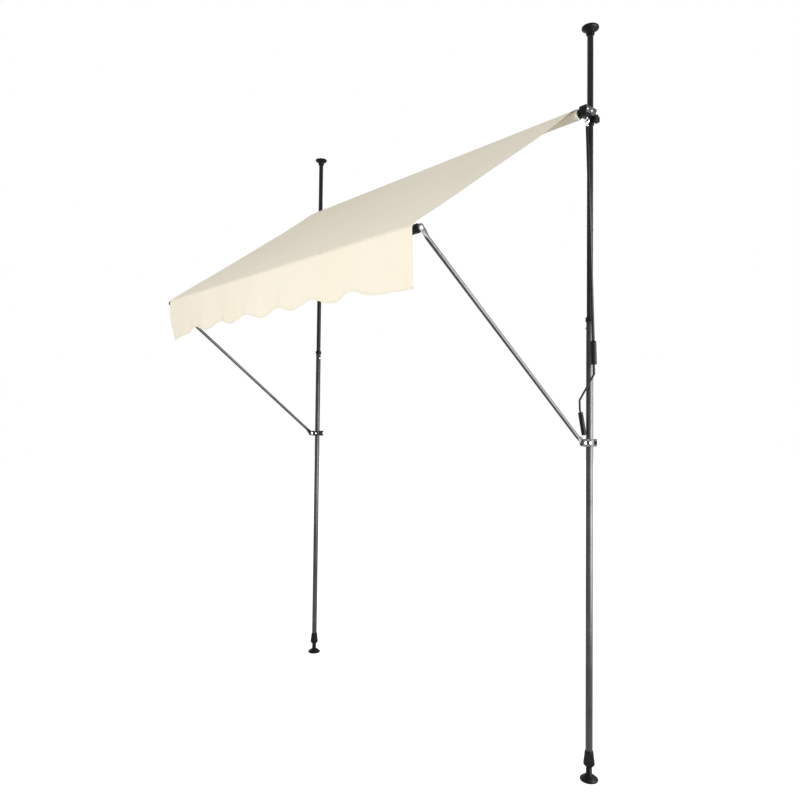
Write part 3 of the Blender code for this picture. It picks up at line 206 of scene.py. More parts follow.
class Shader:
    """A material with one Principled shader, and the calls that add nodes to it."""

    def __init__(self, name: str, metallic: float, roughness: float, specular: float) -> None:
        """Make the material.

        Args:
            name: The material's name.
            metallic: Metallic value of the whole surface.
            roughness: Roughness where nothing drives it.
            specular: Specular level of the whole surface.
        """
        self.material = bpy.data.materials.new(name)
        self.material.use_nodes = True
        self.tree = self.material.node_tree
        self.surface = self.tree.nodes["Principled BSDF"]
        self.surface.inputs["Metallic"].default_value = metallic
        self.surface.inputs["Roughness"].default_value = roughness
        self.surface.inputs["Specular IOR Level"].default_value = specular

    def place(self, scale: Place = (1.0, 1.0, 1.0), turn: Place = (0.0, 0.0, 0.0)) -> Signal:
        """Object coordinates, turned and then stretched."""
        return self._mapped(add_node(self.tree, "ShaderNodeTexCoord", output="Object"), scale, turn)

    def cloth_place(self, scale: Place = (1.0, 1.0, 1.0)) -> Signal:
        """Coordinates along the weave, in metres of flat cloth, from the piece's own UV map."""
        weave = add_node(self.tree, "ShaderNodeUVMap", {"uv_map": WEAVE_MAP})
        return self._mapped(weave, scale, (0.0, 0.0, 0.0))

    def _mapped(self, coordinates: Signal, scale: Place, turn: Place) -> Signal:
        """Coordinates through a Mapping node."""
        sockets = {"Vector": coordinates, "Scale": scale, "Rotation": turn}
        return add_node(self.tree, "ShaderNodeMapping", {"vector_type": "POINT"}, sockets)

    def noise(self, coordinates: Signal, scale: float, detail: float = 2.0) -> Signal:
        """Fractal noise from 0 to 1."""
        sockets = {"Vector": coordinates, "Scale": scale, "Detail": detail}
        return add_node(self.tree, "ShaderNodeTexNoise", None, sockets)

    def blend(self, first: "Colour | Signal", second: "Colour | Signal", share: Signal) -> Signal:
        """Mix two colours.

        Args:
            first: Colour where share is 0.
            second: Colour where share is 1.
            share: The factor.

        Returns:
            The mixed colour.
        """
        node = self.tree.nodes.new("ShaderNodeMix")
        node.data_type = "RGBA"
        self.tree.links.new(share.socket, node.inputs["Factor"])
        colour_sockets = [socket for socket in node.inputs if socket.type == "RGBA"]
        for socket, colour in zip(colour_sockets, (first, second)):
            if isinstance(colour, Signal):
                self.tree.links.new(colour.socket, socket)
            else:
                socket.default_value = (*colour, 1.0)
        return Signal(self.tree, next(out for out in node.outputs if out.type == "RGBA"))

    def drive(self, label: str, signal: Signal) -> None:
        """Link a signal to one of the surface's sockets."""
        self.tree.links.new(signal.socket, self.surface.inputs[label])

    def relief(self, height: Signal, depth: float, strength: float = 1.0) -> None:
        """Feed a height from 0 to 1 to the normal through a Bump node of that depth in metres."""
        sockets = {"Height": height, "Distance": depth, "Strength": strength}
        self.drive("Normal", add_node(self.tree, "ShaderNodeBump", None, sockets))


# ---- Finishes


@dataclass(frozen=True)
class PowderCoat:
    """Sprayed and baked paint on steel: one colour, a faint orange peel and dull patches."""

    name: str
    colour: Colour
    light: Colour
    roughness: float
    metallic: float = 0.0

    def material(self) -> bpy.types.Material:
        """Build the material."""
        shader = Shader(self.name, self.metallic, self.roughness, 0.14)
        place = shader.place()
        patches = shader.noise(place, 7.0, 4.0)
        flecks = shader.noise(place, 260.0, 2.0)
        shade = (patches * 0.6 + flecks * 0.4).above(0.38, 0.68)
        shader.drive("Base Color", shader.blend(self.colour, self.light, shade))
        shader.drive("Roughness", patches * 0.16 + (self.roughness - 0.08))
        shader.relief(shader.noise(place, 700.0, 2.0), 0.00006, 0.4)
        return shader.material


@dataclass(frozen=True)
class DrawnTube:
    """Satin metallic paint on drawn tube: fine lines along the tube, soft patches and scuffs."""

    name: str
    colour: Colour
    light: Colour
    roughness: float
    turn: Place = (0.0, 0.0, 0.0)

    def material(self) -> bpy.types.Material:
        """Build the material."""
        shader = Shader(self.name, 0.85, self.roughness, 0.25)
        along = shader.place((300.0, 300.0, 2.0), self.turn)
        lines = shader.noise(along, 1.0, 1.0)
        patches = shader.noise(shader.place(), 9.0, 4.0)
        streaks = shader.noise(shader.place((60.0, 60.0, 9.0), self.turn), 1.0, 5.0)
        scuffs = streaks.above(0.64, 0.74)
        shade = (lines * 0.25 + patches * 0.75).above(0.30, 0.72)
        tone = shader.blend(self.colour, self.light, shade)
        dull = tuple(0.7 * channel for channel in self.colour)
        shader.drive("Base Color", shader.blend(tone, dull, scuffs * 0.55))
        shader.drive("Roughness", lines * 0.14 + scuffs * 0.18 + (self.roughness - 0.07))
        shader.relief(lines, 0.00001, 0.06)
        return shader.material


@dataclass(frozen=True)
class PlatedSteel:
    """Zinc or chrome plate: bare metal with cloudy patches, fine scratches and a worn sheen."""

    name: str
    colour: Colour
    dull: Colour
    roughness: float
    clouds: float

    def material(self) -> bpy.types.Material:
        """Build the material."""
        shader = Shader(self.name, 1.0, self.roughness, 0.5)
        clouds = shader.noise(shader.place(), 90.0, 4.0)
        scratches = shader.noise(shader.place((900.0, 900.0, 60.0)), 1.0, 2.0)
        shader.drive("Base Color", shader.blend(self.colour, self.dull, clouds.above(0.35, 0.7)))
        rough = clouds * self.clouds + scratches * 0.06 + (self.roughness - 0.5 * self.clouds)
        shader.drive("Roughness", rough)
        shader.relief(scratches, 0.00002, 0.4)
        return shader.material


@dataclass(frozen=True)
class MouldedPlastic:
    """Moulded plastic: near black, a fine spark grain, and greyer where hands rub it."""

    name: str
    colour: Colour
    rubbed: Colour
    roughness: float
    grain: float = 0.00006

    def material(self) -> bpy.types.Material:
        """Build the material."""
        shader = Shader(self.name, 0.0, self.roughness, 0.08)
        place = shader.place()
        wear = shader.noise(place, 22.0, 5.0).above(0.50, 0.78)
        grain = shader.noise(place, 1500.0, 1.0)
        shader.drive("Base Color", shader.blend(self.colour, self.rubbed, wear))
        shader.drive("Roughness", wear * 0.12 + grain * 0.10 + (self.roughness - 0.05))
        shader.relief(grain, self.grain, 0.6)
        return shader.material


@dataclass(frozen=True)
class Canvas:
    """Plain-woven awning cloth: crossing threads with slubs, soft tone changes and matt fibres."""

    name: str
    colour: Colour
    shade: Colour
    warm: Colour
    thread: float = 0.0009
    relief_depth: float = 0.00005

    def material(self) -> bpy.types.Material:
        """Build the material."""
        shader = Shader(self.name, 0.0, 0.88, 0.25)
        shader.surface.inputs["Sheen Weight"].default_value = 0.12
        shader.surface.inputs["Sheen Roughness"].default_value = 0.5
        flat = shader.cloth_place()
        across = add_node(shader.tree, "ShaderNodeSeparateXYZ", None, {"Vector": flat}, "X")
        along = Signal(shader.tree, across.socket.node.outputs["Y"])
        turns = 2 * math.pi / (2 * self.thread)
        warp = (across * turns).sine()
        weft = (along * turns).sine()
        weave = warp * weft * 0.5 + 0.5
        slub_across = shader.noise(shader.cloth_place((900.0, 26.0, 1.0)), 1.0, 2.0)
        slub_along = shader.noise(shader.cloth_place((26.0, 900.0, 1.0)), 1.0, 2.0)
        slubs = slub_across * 0.5 + slub_along * 0.5
        clouds = shader.noise(flat, 3.2, 4.0)
        soil = shader.noise(flat, 11.0, 5.0)
        tone = shader.blend(self.colour, self.warm, clouds.above(0.35, 0.70))
        fine = (slubs - 0.5) * 1.3 + (soil - 0.5) * 0.6 + 0.35
        tone = shader.blend(tone, self.shade, fine.above(0.2, 1.1) * 0.30)
        shader.drive("Base Color", tone)
        shader.drive("Roughness", slubs * 0.14 + 0.80)
        height = weave * 0.45 + slubs * 0.55
        shader.relief(height, self.relief_depth, 0.14)
        return shader.material


class Palette:
    """The finishes that the awning's pieces share, each built when it is first asked for."""

    # The record's material slot of each finish
    SLOTS = {
        "anthracite": "anthracite",
        "cast_grey": "satin_grey",
        "satin_grey": "satin_grey",
        "saddle_grey": "satin_grey",
        "arm_grey": "satin_grey",
        "zinc": "bright_zinc",
        "galvanised": "bright_zinc",
        "chrome": "chrome",
        "black": "black_plastic",
        "grip": "black_plastic",
        "cream": "cream_cloth",
        "binding": "cream_cloth",
    }
    FINISHES = {
        "anthracite": PowderCoat(
            "anthracite powder coat", (0.014, 0.0135, 0.0123), (0.023, 0.0221, 0.0202), 0.38, 0.35
        ),
        "cast_grey": PowderCoat(
            "grey clamp casting", (0.080, 0.080, 0.078), (0.135, 0.135, 0.130), 0.42, 0.45
        ),
        "satin_grey": DrawnTube(
            "satin grey pole", (0.042, 0.042, 0.041), (0.062, 0.062, 0.060), 0.40
        ),
        "saddle_grey": PowderCoat(
            "satin grey clamp", (0.045, 0.0445, 0.043), (0.070, 0.069, 0.066), 0.40, 0.70
        ),
        "arm_grey": DrawnTube(
            "satin grey arm",
            (0.040, 0.040, 0.039), (0.060, 0.060, 0.058),
            0.38,
            (ARM_ANGLE - math.pi / 2, 0.0, 0.0),
        ),
        "zinc": PlatedSteel(
            "bright zinc plate", (0.72, 0.72, 0.70), (0.52, 0.52, 0.49), 0.30, 0.16
        ),
        "galvanised": PlatedSteel(
            "galvanised roller tube", (0.60, 0.60, 0.58), (0.42, 0.42, 0.40), 0.42, 0.20
        ),
        "chrome": PlatedSteel("chrome plate", (0.86, 0.86, 0.86), (0.74, 0.74, 0.75), 0.10, 0.08),
        "brass": PlatedSteel(
            "greased gear brass", (0.52, 0.42, 0.22), (0.34, 0.28, 0.16), 0.40, 0.20
        ),
        "black": MouldedPlastic(
            "black moulded plastic", (0.009, 0.009, 0.009), (0.020, 0.020, 0.019), 0.30
        ),
        "grip": MouldedPlastic(
            "black hand grip", (0.010, 0.010, 0.010), (0.030, 0.030, 0.029), 0.40, 0.00012
        ),
        "cream": Canvas(
            "cream awning canvas",
            (0.885, 0.832, 0.695),
            (0.790, 0.730, 0.590),
            (0.875, 0.812, 0.665),
        ),
        "binding": Canvas(
            "cream bias binding",
            (0.860, 0.800, 0.675), (0.770, 0.705, 0.580), (0.850, 0.785, 0.655),
            0.0007,
        ),
    }

    def __init__(self) -> None:
        """Start with no material built."""
        self._built: dict[str, bpy.types.Material] = {}

    def __getitem__(self, name: str) -> bpy.types.Material:
        """The material of that finish."""
        if name not in self._built:
            self._built[name] = self.FINISHES[name].material()
        return self._built[name]


# ---- Modelling


@dataclass(frozen=True)
class Ring:
    """One station of a turned or lofted piece: half widths along X and Y at a height."""

    x: float
    y: float
    z: float


def rings(*stations: tuple[float, float]) -> list[Ring]:
    """Round stations from pairs of radius and height."""
    return [Ring(radius, radius, height) for radius, height in stations]


def on_pole(side: Side) -> Matrix:
    """From a master's place about x = 0, +X outwards, to its place on that side's pole."""
    return Matrix.Translation((side.value * POLE_X, 0, 0)) @ Matrix.Diagonal((side.value, 1, 1, 1))


class Bench:
    """The modelling bench: operators that leave a finished mesh with its object at the origin."""

    def __init__(self, palette: Palette) -> None:
        """Keep the palette that dresses what is made."""
        self.palette = palette
        self.made = 0

    @staticmethod
    def clear() -> None:
        """Deselect everything."""
        bpy.ops.object.select_all(action="DESELECT")

    @staticmethod
    def edit() -> None:
        """Enter edit mode with everything of the piece selected."""
        bpy.ops.object.mode_set(mode="EDIT")
        bpy.ops.mesh.select_all(action="SELECT")

    @staticmethod
    def leave() -> None:
        """Return to object mode."""
        bpy.ops.object.mode_set(mode="OBJECT")

    def only(self, piece: Piece) -> None:
        """Make a piece the only selected and active one."""
        self.clear()
        piece.select_set(True)
        bpy.context.view_layer.objects.active = piece

    def settle(self, piece: Piece) -> Piece:
        """Put the piece's place into its mesh, so that its object sits at the origin."""
        self.only(piece)
        bpy.ops.object.transform_apply(location=True, rotation=True, scale=True)
        return piece

    def modify(self, piece: Piece, kind: str, **settings: object) -> Piece:
        """Add a modifier with these settings and apply it."""
        self.only(piece)
        modifier = piece.modifiers.new(kind.lower(), kind)
        for attribute, value in settings.items():
            setattr(modifier, attribute, value)
        bpy.ops.object.modifier_apply(modifier=modifier.name)
        return piece

    def soften(self, piece: Piece, width: float, segments: int = 2) -> Piece:
        """Round the sharp edges of a piece."""
        return self.modify(
            piece,
            "BEVEL",
            width=width,
            segments=segments,
            limit_method="ANGLE",
            angle_limit=math.radians(SHARP),
            use_clamp_overlap=True,
        )

    def cut(self, piece: Piece, other: Piece, how: str = "DIFFERENCE") -> Piece:
        """Cut a piece with another, which is used up."""
        self.modify(piece, "BOOLEAN", operation=how, solver="MANIFOLD", object=other)
        bpy.data.objects.remove(other, do_unlink=True)
        return piece

    def join(self, piece: Piece, other: Piece) -> Piece:
        """Join another piece to a piece as one solid."""
        return self.cut(piece, other, "UNION")

    def circle(
        self, name: str, segments: int, radius: float = 1.0, centre: Place = (0.0, 0.0, 0.0)
    ) -> Piece:
        """Begin a piece as a circle, in edit mode."""
        self.clear()
        bpy.ops.mesh.primitive_circle_add(
            vertices=segments, radius=radius, fill_type="NOTHING", location=centre
        )
        piece = bpy.context.active_object
        piece.name = name
        self.edit()
        return piece

    def close(self, caps: bool) -> None:
        """Weld what was extruded, cap its ends where asked, and leave edit mode."""
        bpy.ops.mesh.select_all(action="SELECT")
        bpy.ops.mesh.remove_doubles(threshold=WELD)
        if caps:
            bpy.ops.mesh.fill_holes(sides=0)
        bpy.ops.mesh.select_all(action="SELECT")
        bpy.ops.mesh.normals_make_consistent(inside=False)
        self.leave()

    def loft(
        self,
        name: str,
        stations: Sequence[Ring],
        segments: int = ROUND,
        hollow: bool = False,
        rounding: float = 0.0,
    ) -> Piece:
        """A turned or lofted piece along Z: a circle, extruded and resized from station to station.

        Args:
            name: The piece's name.
            stations: Its stations in order along the outline.
            segments: Sides of the circle.
            hollow: Whether the outline closes on itself, as a tube's does, and not with two caps.
            rounding: Width of the bevel on its sharp edges, or 0.

        Returns:
            The piece, standing on its own axis at the origin.
        """
        first = stations[0]
        piece = self.circle(name, segments)
        bpy.ops.transform.resize(value=(first.x, first.y, 1), center_override=(0, 0, 0))
        bpy.ops.transform.translate(value=(0, 0, first.z))
        before = first
        for station in list(stations[1:]) + ([first] if hollow else []):
            bpy.ops.mesh.extrude_region_move(
                TRANSFORM_OT_translate={"value": (0, 0, station.z - before.z)}
            )
            if station.x != before.x or station.y != before.y:
                bpy.ops.transform.resize(
                    value=(station.x / before.x, station.y / before.y, 1),
                    center_override=(0, 0, station.z),
                )
            before = station
        self.close(caps=not hollow)
        if rounding:
            self.soften(piece, rounding)
        return piece

    def drum(
        self, name: str, radius: float, low: float, high: float, segments: int = ROUND
    ) -> Piece:
        """A plain round cutter or core from one height to another."""
        return self.loft(name, rings((radius, low), (radius, high)), segments)

    def carve(self, piece: Piece, share: Callable[[float, float, float], float]) -> None:
        """Scale each point's radius about Z by a share of its radius, angle and height."""
        for vertex in piece.data.vertices:
            radius = math.hypot(vertex.co.x, vertex.co.y)
            angle = math.atan2(vertex.co.y, vertex.co.x)
            factor = share(radius, angle, vertex.co.z)
            vertex.co.x *= factor
            vertex.co.y *= factor

    def block(
        self, name: str, low: Place, high: Place, rounding: float = 0.0, segments: int = 2
    ) -> Piece:
        """A rectangular block between two corners with its edges beveled in edit mode."""
        self.clear()
        size = [end - start for start, end in zip(low, high)]
        middle = [(end + start) / 2 for start, end in zip(low, high)]
        bpy.ops.mesh.primitive_cube_add(size=1.0, location=middle)
        piece = bpy.context.active_object
        piece.name = name
        piece.scale = size
        self.settle(piece)
        if rounding:
            self.edit()
            bpy.ops.mesh.bevel(offset=rounding, segments=segments, affect="EDGES")
            self.leave()
        return piece

    def bent_rod(
        self,
        name: str,
        radius: float,
        start: Place,
        moves: Iterable[tuple[str, float, float]],
        segments: int = 20,
    ) -> Piece:
        """A rod in the XZ plane that starts downwards and follows runs and bends.

        Args:
            name: The piece's name.
            radius: The rod's radius.
            start: Centre of its first end.
            moves: ("run", length, 0) or ("bend", angle, bend radius); positive turns towards +X.
            segments: Sides of the rod.

        Returns:
            The rod.
        """
        piece = self.circle(name, segments, radius, start)
        here = Vector(start)
        heading = 0.0
        for move, amount, bend in moves:
            way = Vector((math.sin(heading), 0.0, -math.cos(heading)))
            if move == "run":
                bpy.ops.mesh.extrude_region_move(TRANSFORM_OT_translate={"value": way * amount})
                here += way * amount
                continue
            towards = math.copysign(1.0, amount)
            centre = here + Vector((math.cos(heading), 0.0, math.sin(heading))) * bend * towards
            steps = max(3, round(abs(math.degrees(amount)) / BEND_STEP))
            bpy.ops.mesh.spin(
                steps=steps,
                angle=abs(amount),
                center=centre,
                axis=(0.0, towards, 0.0),
                use_auto_merge=False,
            )
            offset = here - centre
            here = centre + Matrix.Rotation(-amount, 3, "Y") @ offset
            heading += amount
        self.close(caps=True)
        return self.settle(piece)

    def hollow_tube(
        self, name: str, outer: float, inner: float, low: float, high: float, segments: int = ROUND
    ) -> Piece:
        """A round tube with softened rims."""
        outline = rings((outer, high), (outer, low), (inner, low), (inner, high))
        return self.loft(name, outline, segments, True, min(0.0003, (outer - inner) / 4))

    def lay(self, piece: Piece, place: Place, along: Along = Along.OUTWARD) -> Piece:
        """Turn a piece that was made along Z, outwards by default, move it and settle it."""
        piece.rotation_euler = along.value
        piece.location = place
        return self.settle(piece)

    def stamp(self, master: Piece, name: str, placing: Matrix) -> Piece:
        """Copy a master with a mesh of its own, placed by a matrix that may mirror it."""
        mesh = master.data.copy()
        mesh.transform(placing)
        if placing.determinant() < 0:
            mesh.flip_normals()
        copy = bpy.data.objects.new(name, mesh)
        bpy.context.scene.collection.objects.link(copy)
        return copy

    def smooth(self, piece: Piece, angle: float = CREASE) -> None:
        """Shade a piece smooth up to an angle in degrees."""
        self.only(piece)
        bpy.ops.object.shade_smooth_by_angle(angle=math.radians(angle))

    def hand_over(
        self,
        piece: Piece,
        finish: str,
        body: Optional[str],
        *nodes: str,
        angle: float = CREASE,
    ) -> Piece:
        """Dress a finished piece, tie it to its body and hide the solids it stands for.

        Args:
            piece: The piece.
            finish: Its finish in the palette.
            body: The body it rides on, or None.
            *nodes: The solids that it replaces.
            angle: Shading angle in degrees.

        Returns:
            The piece.
        """
        self.smooth(piece, angle)
        piece.data.materials.clear()
        piece.data.materials.append(self.palette[finish])
        self.palette.SLOTS[finish]
        if nodes:
            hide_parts(*nodes)
        if body is not None:
            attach(piece, body)
        self.made += 1
        LOG.info("%s: %s on %s", piece.name, finish, body)
        return piece

    def put_on_poles(
        self,
        master: Piece,
        name: str,
        finish: str,
        *endings: str,
        body: str = "frame",
        sides: Iterable[Side] = Side,
        angle: float = CREASE,
    ) -> None:
        """Stamp a master made about a pole's axis, +X outwards, on the poles and remove it.

        Args:
            master: The piece at x = 0 on the pole's axis.
            name: Its name after the side's label.
            finish: Its finish.
            *endings: The solids that it replaces, without the side's label.
            body: Its body, with {side} for the side's label.
            sides: The poles that get one.
            angle: Shading angle in degrees.
        """
        for side in sides:
            piece = self.stamp(master, f"{side.label}_{name}", on_pole(side))
            nodes = [f"{side.label}_{ending}" for ending in endings]
            self.hand_over(piece, finish, body.format(side=side.label), *nodes, angle=angle)
        bpy.data.objects.remove(master, do_unlink=True)


# ---- Cloth and fasteners


class Sheet:
    """A fine grid of cloth whose points a function of two shares places."""

    def __init__(self, bench: Bench, name: str, columns: int, rows: int) -> None:
        """Add the flat grid.

        Args:
            bench: The bench.
            name: The piece's name.
            columns: Faces across.
            rows: Faces along.
        """
        bench.clear()
        bpy.ops.mesh.primitive_grid_add(x_subdivisions=columns, y_subdivisions=rows, size=2.0)
        self.bench = bench
        self.piece = bpy.context.active_object
        self.piece.name = name
        self.piece.data.uv_layers[0].name = WEAVE_MAP
        flat = np.zeros(len(self.piece.data.vertices) * 3)
        self.piece.data.vertices.foreach_get("co", flat)
        flat = flat.reshape(-1, 3)
        self.across = (flat[:, 0] + 1.0) / 2.0
        self.along = (flat[:, 1] + 1.0) / 2.0

    def finish(
        self,
        places: tuple[np.ndarray, np.ndarray, np.ndarray],
        lengths: tuple[np.ndarray, np.ndarray],
        thickness: float,
    ) -> Piece:
        """Put the points in place, write the weave map and give the cloth its thickness.

        Args:
            places: X, Y and Z of each point.
            lengths: Its two lengths in metres of flat cloth.
            thickness: The cloth's thickness.

        Returns:
            The piece.
        """
        mesh = self.piece.data
        mesh.vertices.foreach_set("co", np.stack(places, axis=1).ravel())
        mesh.update()
        corners = np.zeros(len(mesh.loops), dtype=np.int32)
        mesh.loops.foreach_get("vertex_index", corners)
        flat = np.stack(lengths, axis=1)[corners]
        mesh.uv_layers[0].data.foreach_set("uv", flat.ravel())
        return self.bench.modify(self.piece, "SOLIDIFY", thickness=thickness, offset=0.0)


class Head(Enum):
    """The heads that the fasteners have."""

    BUTTON = "button"
    HEX = "hex"
    PAN = "pan"


@dataclass
class Fastener:
    """A bolt along +X whose head is sized by its shank's radius."""

    bench: Bench
    shank: float
    length: float
    head: Head = Head.BUTTON
    head_radius: float = 1.9
    dome_height: float = 1.15
    hexagon_height: float = 1.5
    socket_radius: float = 0.62
    slot_radius: float = 0.30

    def model(self, name: str, seat: Place) -> Piece:
        """Model it with its head outwards along +X.

        Args:
            name: The piece's name.
            seat: Where its seat's centre lies.

        Returns:
            The fastener.
        """
        radius = self.head_radius * self.shank
        height = self.dome_height * self.shank
        if self.head is Head.HEX:
            piece = self.bench.drum(name, self.shank, -self.length, 0.0, 24)
            flat = 0.98 * radius
            top = self.hexagon_height * self.shank
            outline = rings((flat, GAP / 2), (flat, top - 0.2 * self.shank), (0.80 * radius, top))
            hexagon = self.bench.loft("hexagon", outline, 6, rounding=0.00025)
            self.bench.join(piece, hexagon)
        else:
            dome = [
                (radius * math.cos(angle), 0.25 * height + 0.75 * height * math.sin(angle))
                for angle in (0.0, 0.35, 0.7, 1.05, 1.35, 1.52)
            ]
            outline = [(self.shank, -self.length), (self.shank, 0.0), (radius * 0.97, 0.0)] + dome
            piece = self.bench.loft(name, rings(*outline), 28)
            reach = self.socket_radius if self.head is Head.BUTTON else self.slot_radius
            reach *= self.shank
            socket = self.bench.drum("socket", reach * 1.25, 0.30 * height, 2 * height, 6)
            self.bench.cut(piece, socket)
        self.bench.lay(piece, (0.0, 0.0, 0.0))
        piece.location = seat
        return self.bench.settle(piece)


# ---- Poles


@dataclass
class Poles:
    """Both telescopic poles with their collars, lock bolts, ceiling pads and screw feet."""

    bench: Bench
    lower_radius: float = 0.0140
    lower_bore: float = 0.0128
    lower_bottom: float = 0.0863
    lower_top: float = 1.812
    upper_radius: float = 0.0122
    upper_bore: float = 0.0108
    upper_bottom: float = 1.592
    upper_top: float = 2.9877
    hole_radius: float = 0.0034
    hole_pitch: float = 0.079
    top_hole_depth: float = 0.110
    lock_z: float = 1.774
    spindle_radius: float = 0.0123
    thread_pitch: float = 0.003
    nut_bottom: float = 0.054
    nut_top: float = 0.112

    def build(self) -> None:
        """Model every piece of the two poles."""
        self.tubes()
        self.collar()
        self.lock_bolt()
        self.ceiling_pad()
        self.foot()

    def tubes(self) -> None:
        """The lower tube, and the upper tube with its row of height holes."""
        bench = self.bench
        lower = bench.hollow_tube(
            "pole_lower", self.lower_radius, self.lower_bore, self.lower_bottom, self.lower_top
        )
        bench.put_on_poles(lower, "pole_lower", "satin_grey", "lower_tube")
        upper = bench.hollow_tube(
            "pole_upper", self.upper_radius, self.upper_bore, self.upper_bottom, self.upper_top
        )
        count = int((ROOM_HEIGHT - self.top_hole_depth - self.lock_z) / self.hole_pitch) + 1
        drills = []
        for step in range(count):
            height = self.lock_z + step * self.hole_pitch
            drill = bench.drum("drill", self.hole_radius, -0.03, 0.03, 20)
            drills.append(bench.lay(drill, (0.0, 0.0, height)))
        bench.only(drills[0])
        for drill in drills:
            drill.select_set(True)
        bpy.ops.object.join()
        bench.cut(upper, drills[0])
        bench.put_on_poles(upper, "pole_upper", "anthracite", "upper_tube")

    def collar(self) -> None:
        """The plastic guide collar that caps the lower tube, with its grub screw."""
        bench = self.bench
        top = self.lower_top
        outline = rings(
            (0.0152, top + 0.006), (0.0170, top + 0.0045), (0.0170, top - 0.0010),
            (0.0164, top - 0.0016), (0.0164, top - 0.0028), (0.0170, top - 0.0034),
            (0.0170, top - 0.0120), (0.0143, top - 0.0120), (0.0143, top + GAP),
            (0.0125, top + GAP), (0.0125, top + 0.0060),
        )
        collar = bench.loft("pole_collar", outline, ROUND, True, 0.0003)
        bench.put_on_poles(collar, "pole_collar", "black", "guide_collar")
        seat = (0.0171, 0.0, top - 0.0070)
        screw = Fastener(bench, 0.0016, 0.0010, Head.PAN).model("collar_screw", seat)
        bench.put_on_poles(screw, "collar_screw", "zinc")

    def lock_bolt(self) -> None:
        """The bolt through both tubes, and its cap nut on the inner side."""
        bench = self.bench
        seat = (self.lower_radius + GAP, 0.0, self.lock_z)
        bolt = Fastener(bench, 0.0030, 0.0330).model("lock_bolt", seat)
        bench.put_on_poles(bolt, "pole_lock_bolt", "zinc", "lock_bolt")
        outline = rings((0.0052, 0.0), (0.0057, 0.0004), (0.0057, 0.0036))
        nut = bench.loft("lock_nut", outline, 6, rounding=0.0003)
        outline = rings((0.0046, 0.0020), (0.0046, 0.0046), (0.0036, 0.0060), (0.0016, 0.0068))
        bench.join(nut, bench.loft("dome", outline, 28))
        bench.lay(nut, (-self.lower_radius - GAP, 0.0, self.lock_z), Along.INWARD)
        bench.put_on_poles(nut, "pole_lock_nut", "zinc", "lock_nut")

    def ceiling_pad(self) -> None:
        """The plastic pad that presses on the ceiling."""
        top = ROOM_HEIGHT
        outline = rings(
            (0.0122, top - 0.0120), (0.0125, top - 0.0310), (0.0162, top - 0.0310),
            (0.0170, top - 0.0300), (0.0170, top - 0.0196), (0.0176, top - 0.0180),
            (0.0212, top - 0.0160), (0.0262, top - 0.0132), (0.0300, top - 0.0104),
            (0.0332, top - 0.0080), (0.0345, top - 0.0064), (0.0345, top - 0.0024),
            (0.0335, top - 0.0020), (0.0335, top - 0.0014), (0.0345, top - 0.0010), (0.0338, top),
        )
        pad = self.bench.loft("ceiling_pad", outline, 64, rounding=0.0003)
        self.bench.put_on_poles(pad, "pole_ceiling_pad", "black", "ceiling_pad")

    def foot(self) -> None:
        """The hand nut with its flutes, the threaded spindle, and the floor pad."""
        bench = self.bench
        low, high = self.nut_bottom, self.nut_top
        span = high - low
        outline = [
            (0.0126, low), (0.0150, low), (0.0160, low + 0.0004), (0.0214, low + 0.0058),
            (0.0220, low + 0.0074), (0.0220, low + 0.0100), (0.0219, low + 0.0130),
            (0.0217, low + 0.0162), (0.0204, low + 0.45 * span), (0.0191, low + 0.62 * span),
            (0.0180, low + 0.80 * span), (0.0172, low + 0.94 * span), (0.0163, high),
            (0.0143, high), (0.0143, low + 0.0320), (0.0126, low + 0.0320),
        ]
        nut = bench.loft("foot_nut", rings(*outline), 96, True)

        def fluted(radius: float, angle: float, z: float) -> float:
            """Twelve flutes that fade out towards both ends."""
            foot = min(max((z - low - 0.002) / 0.006, 0.0), 1.0)
            head = min(max((high - 0.010 - z) / 0.012, 0.0), 1.0)
            flute = max(0.0, math.cos(12 * angle)) ** 2
            return 1.0 - 0.060 * (foot * head) * flute if radius > 0.0165 else 1.0

        bench.carve(nut, fluted)
        bench.put_on_poles(nut, "pole_foot_nut", "black", "foot_nut", body="{side}_nut")
        self.spindle()
        pad_outline = rings(
            (0.0120, 0.0100), (0.0126, 0.0220), (0.0144, 0.0220), (0.0152, 0.0212),
            (0.0168, 0.0196), (0.0210, 0.0176), (0.0262, 0.0140), (0.0300, 0.0104),
            (0.0342, 0.0080), (0.0350, 0.0066), (0.0350, 0.0030), (0.0341, 0.0024),
            (0.0341, 0.0016), (0.0346, 0.0010), (0.0338, 0.0),
        )
        pad = bench.loft("foot_pad", pad_outline, 64, rounding=0.0003)
        bench.put_on_poles(pad, "pole_foot_pad", "black", "foot_pad", body="{side}_foot")

    def spindle(self) -> None:
        """The foot's screw: its thread is one ridge that winds up the rod."""
        bench = self.bench
        steps_per_turn = 6
        step = self.thread_pitch / steps_per_turn
        low, thread_top, top = 0.0103, 0.086, 0.200
        crest, end = self.spindle_radius - 0.0002, self.spindle_radius - 0.001
        count = int((thread_top - low) / step)
        thread = [(crest, low + 0.001 + i * step) for i in range(count)]
        outline = rings((end, low), *thread, (crest, top - 0.001), (end, top))
        spindle = bench.loft("foot_spindle", outline, 36)

        def threaded(_: float, angle: float, z: float) -> float:
            """One ridge that rises by the pitch in each turn."""
            turn = (z / self.thread_pitch - angle / (2 * math.pi)) % 1.0
            on_thread = low + 0.003 < z < thread_top - 0.002
            return 1.0 - 0.085 * abs(2 * turn - 1.0) if on_thread else 1.0

        bench.carve(spindle, threaded)
        bench.put_on_poles(
            spindle,
            "pole_foot_spindle",
            "black",
            "foot_spindle",
            body="{side}_foot",
            angle=CLOTH_CREASE,
        )


# ---- Arms and their clamps


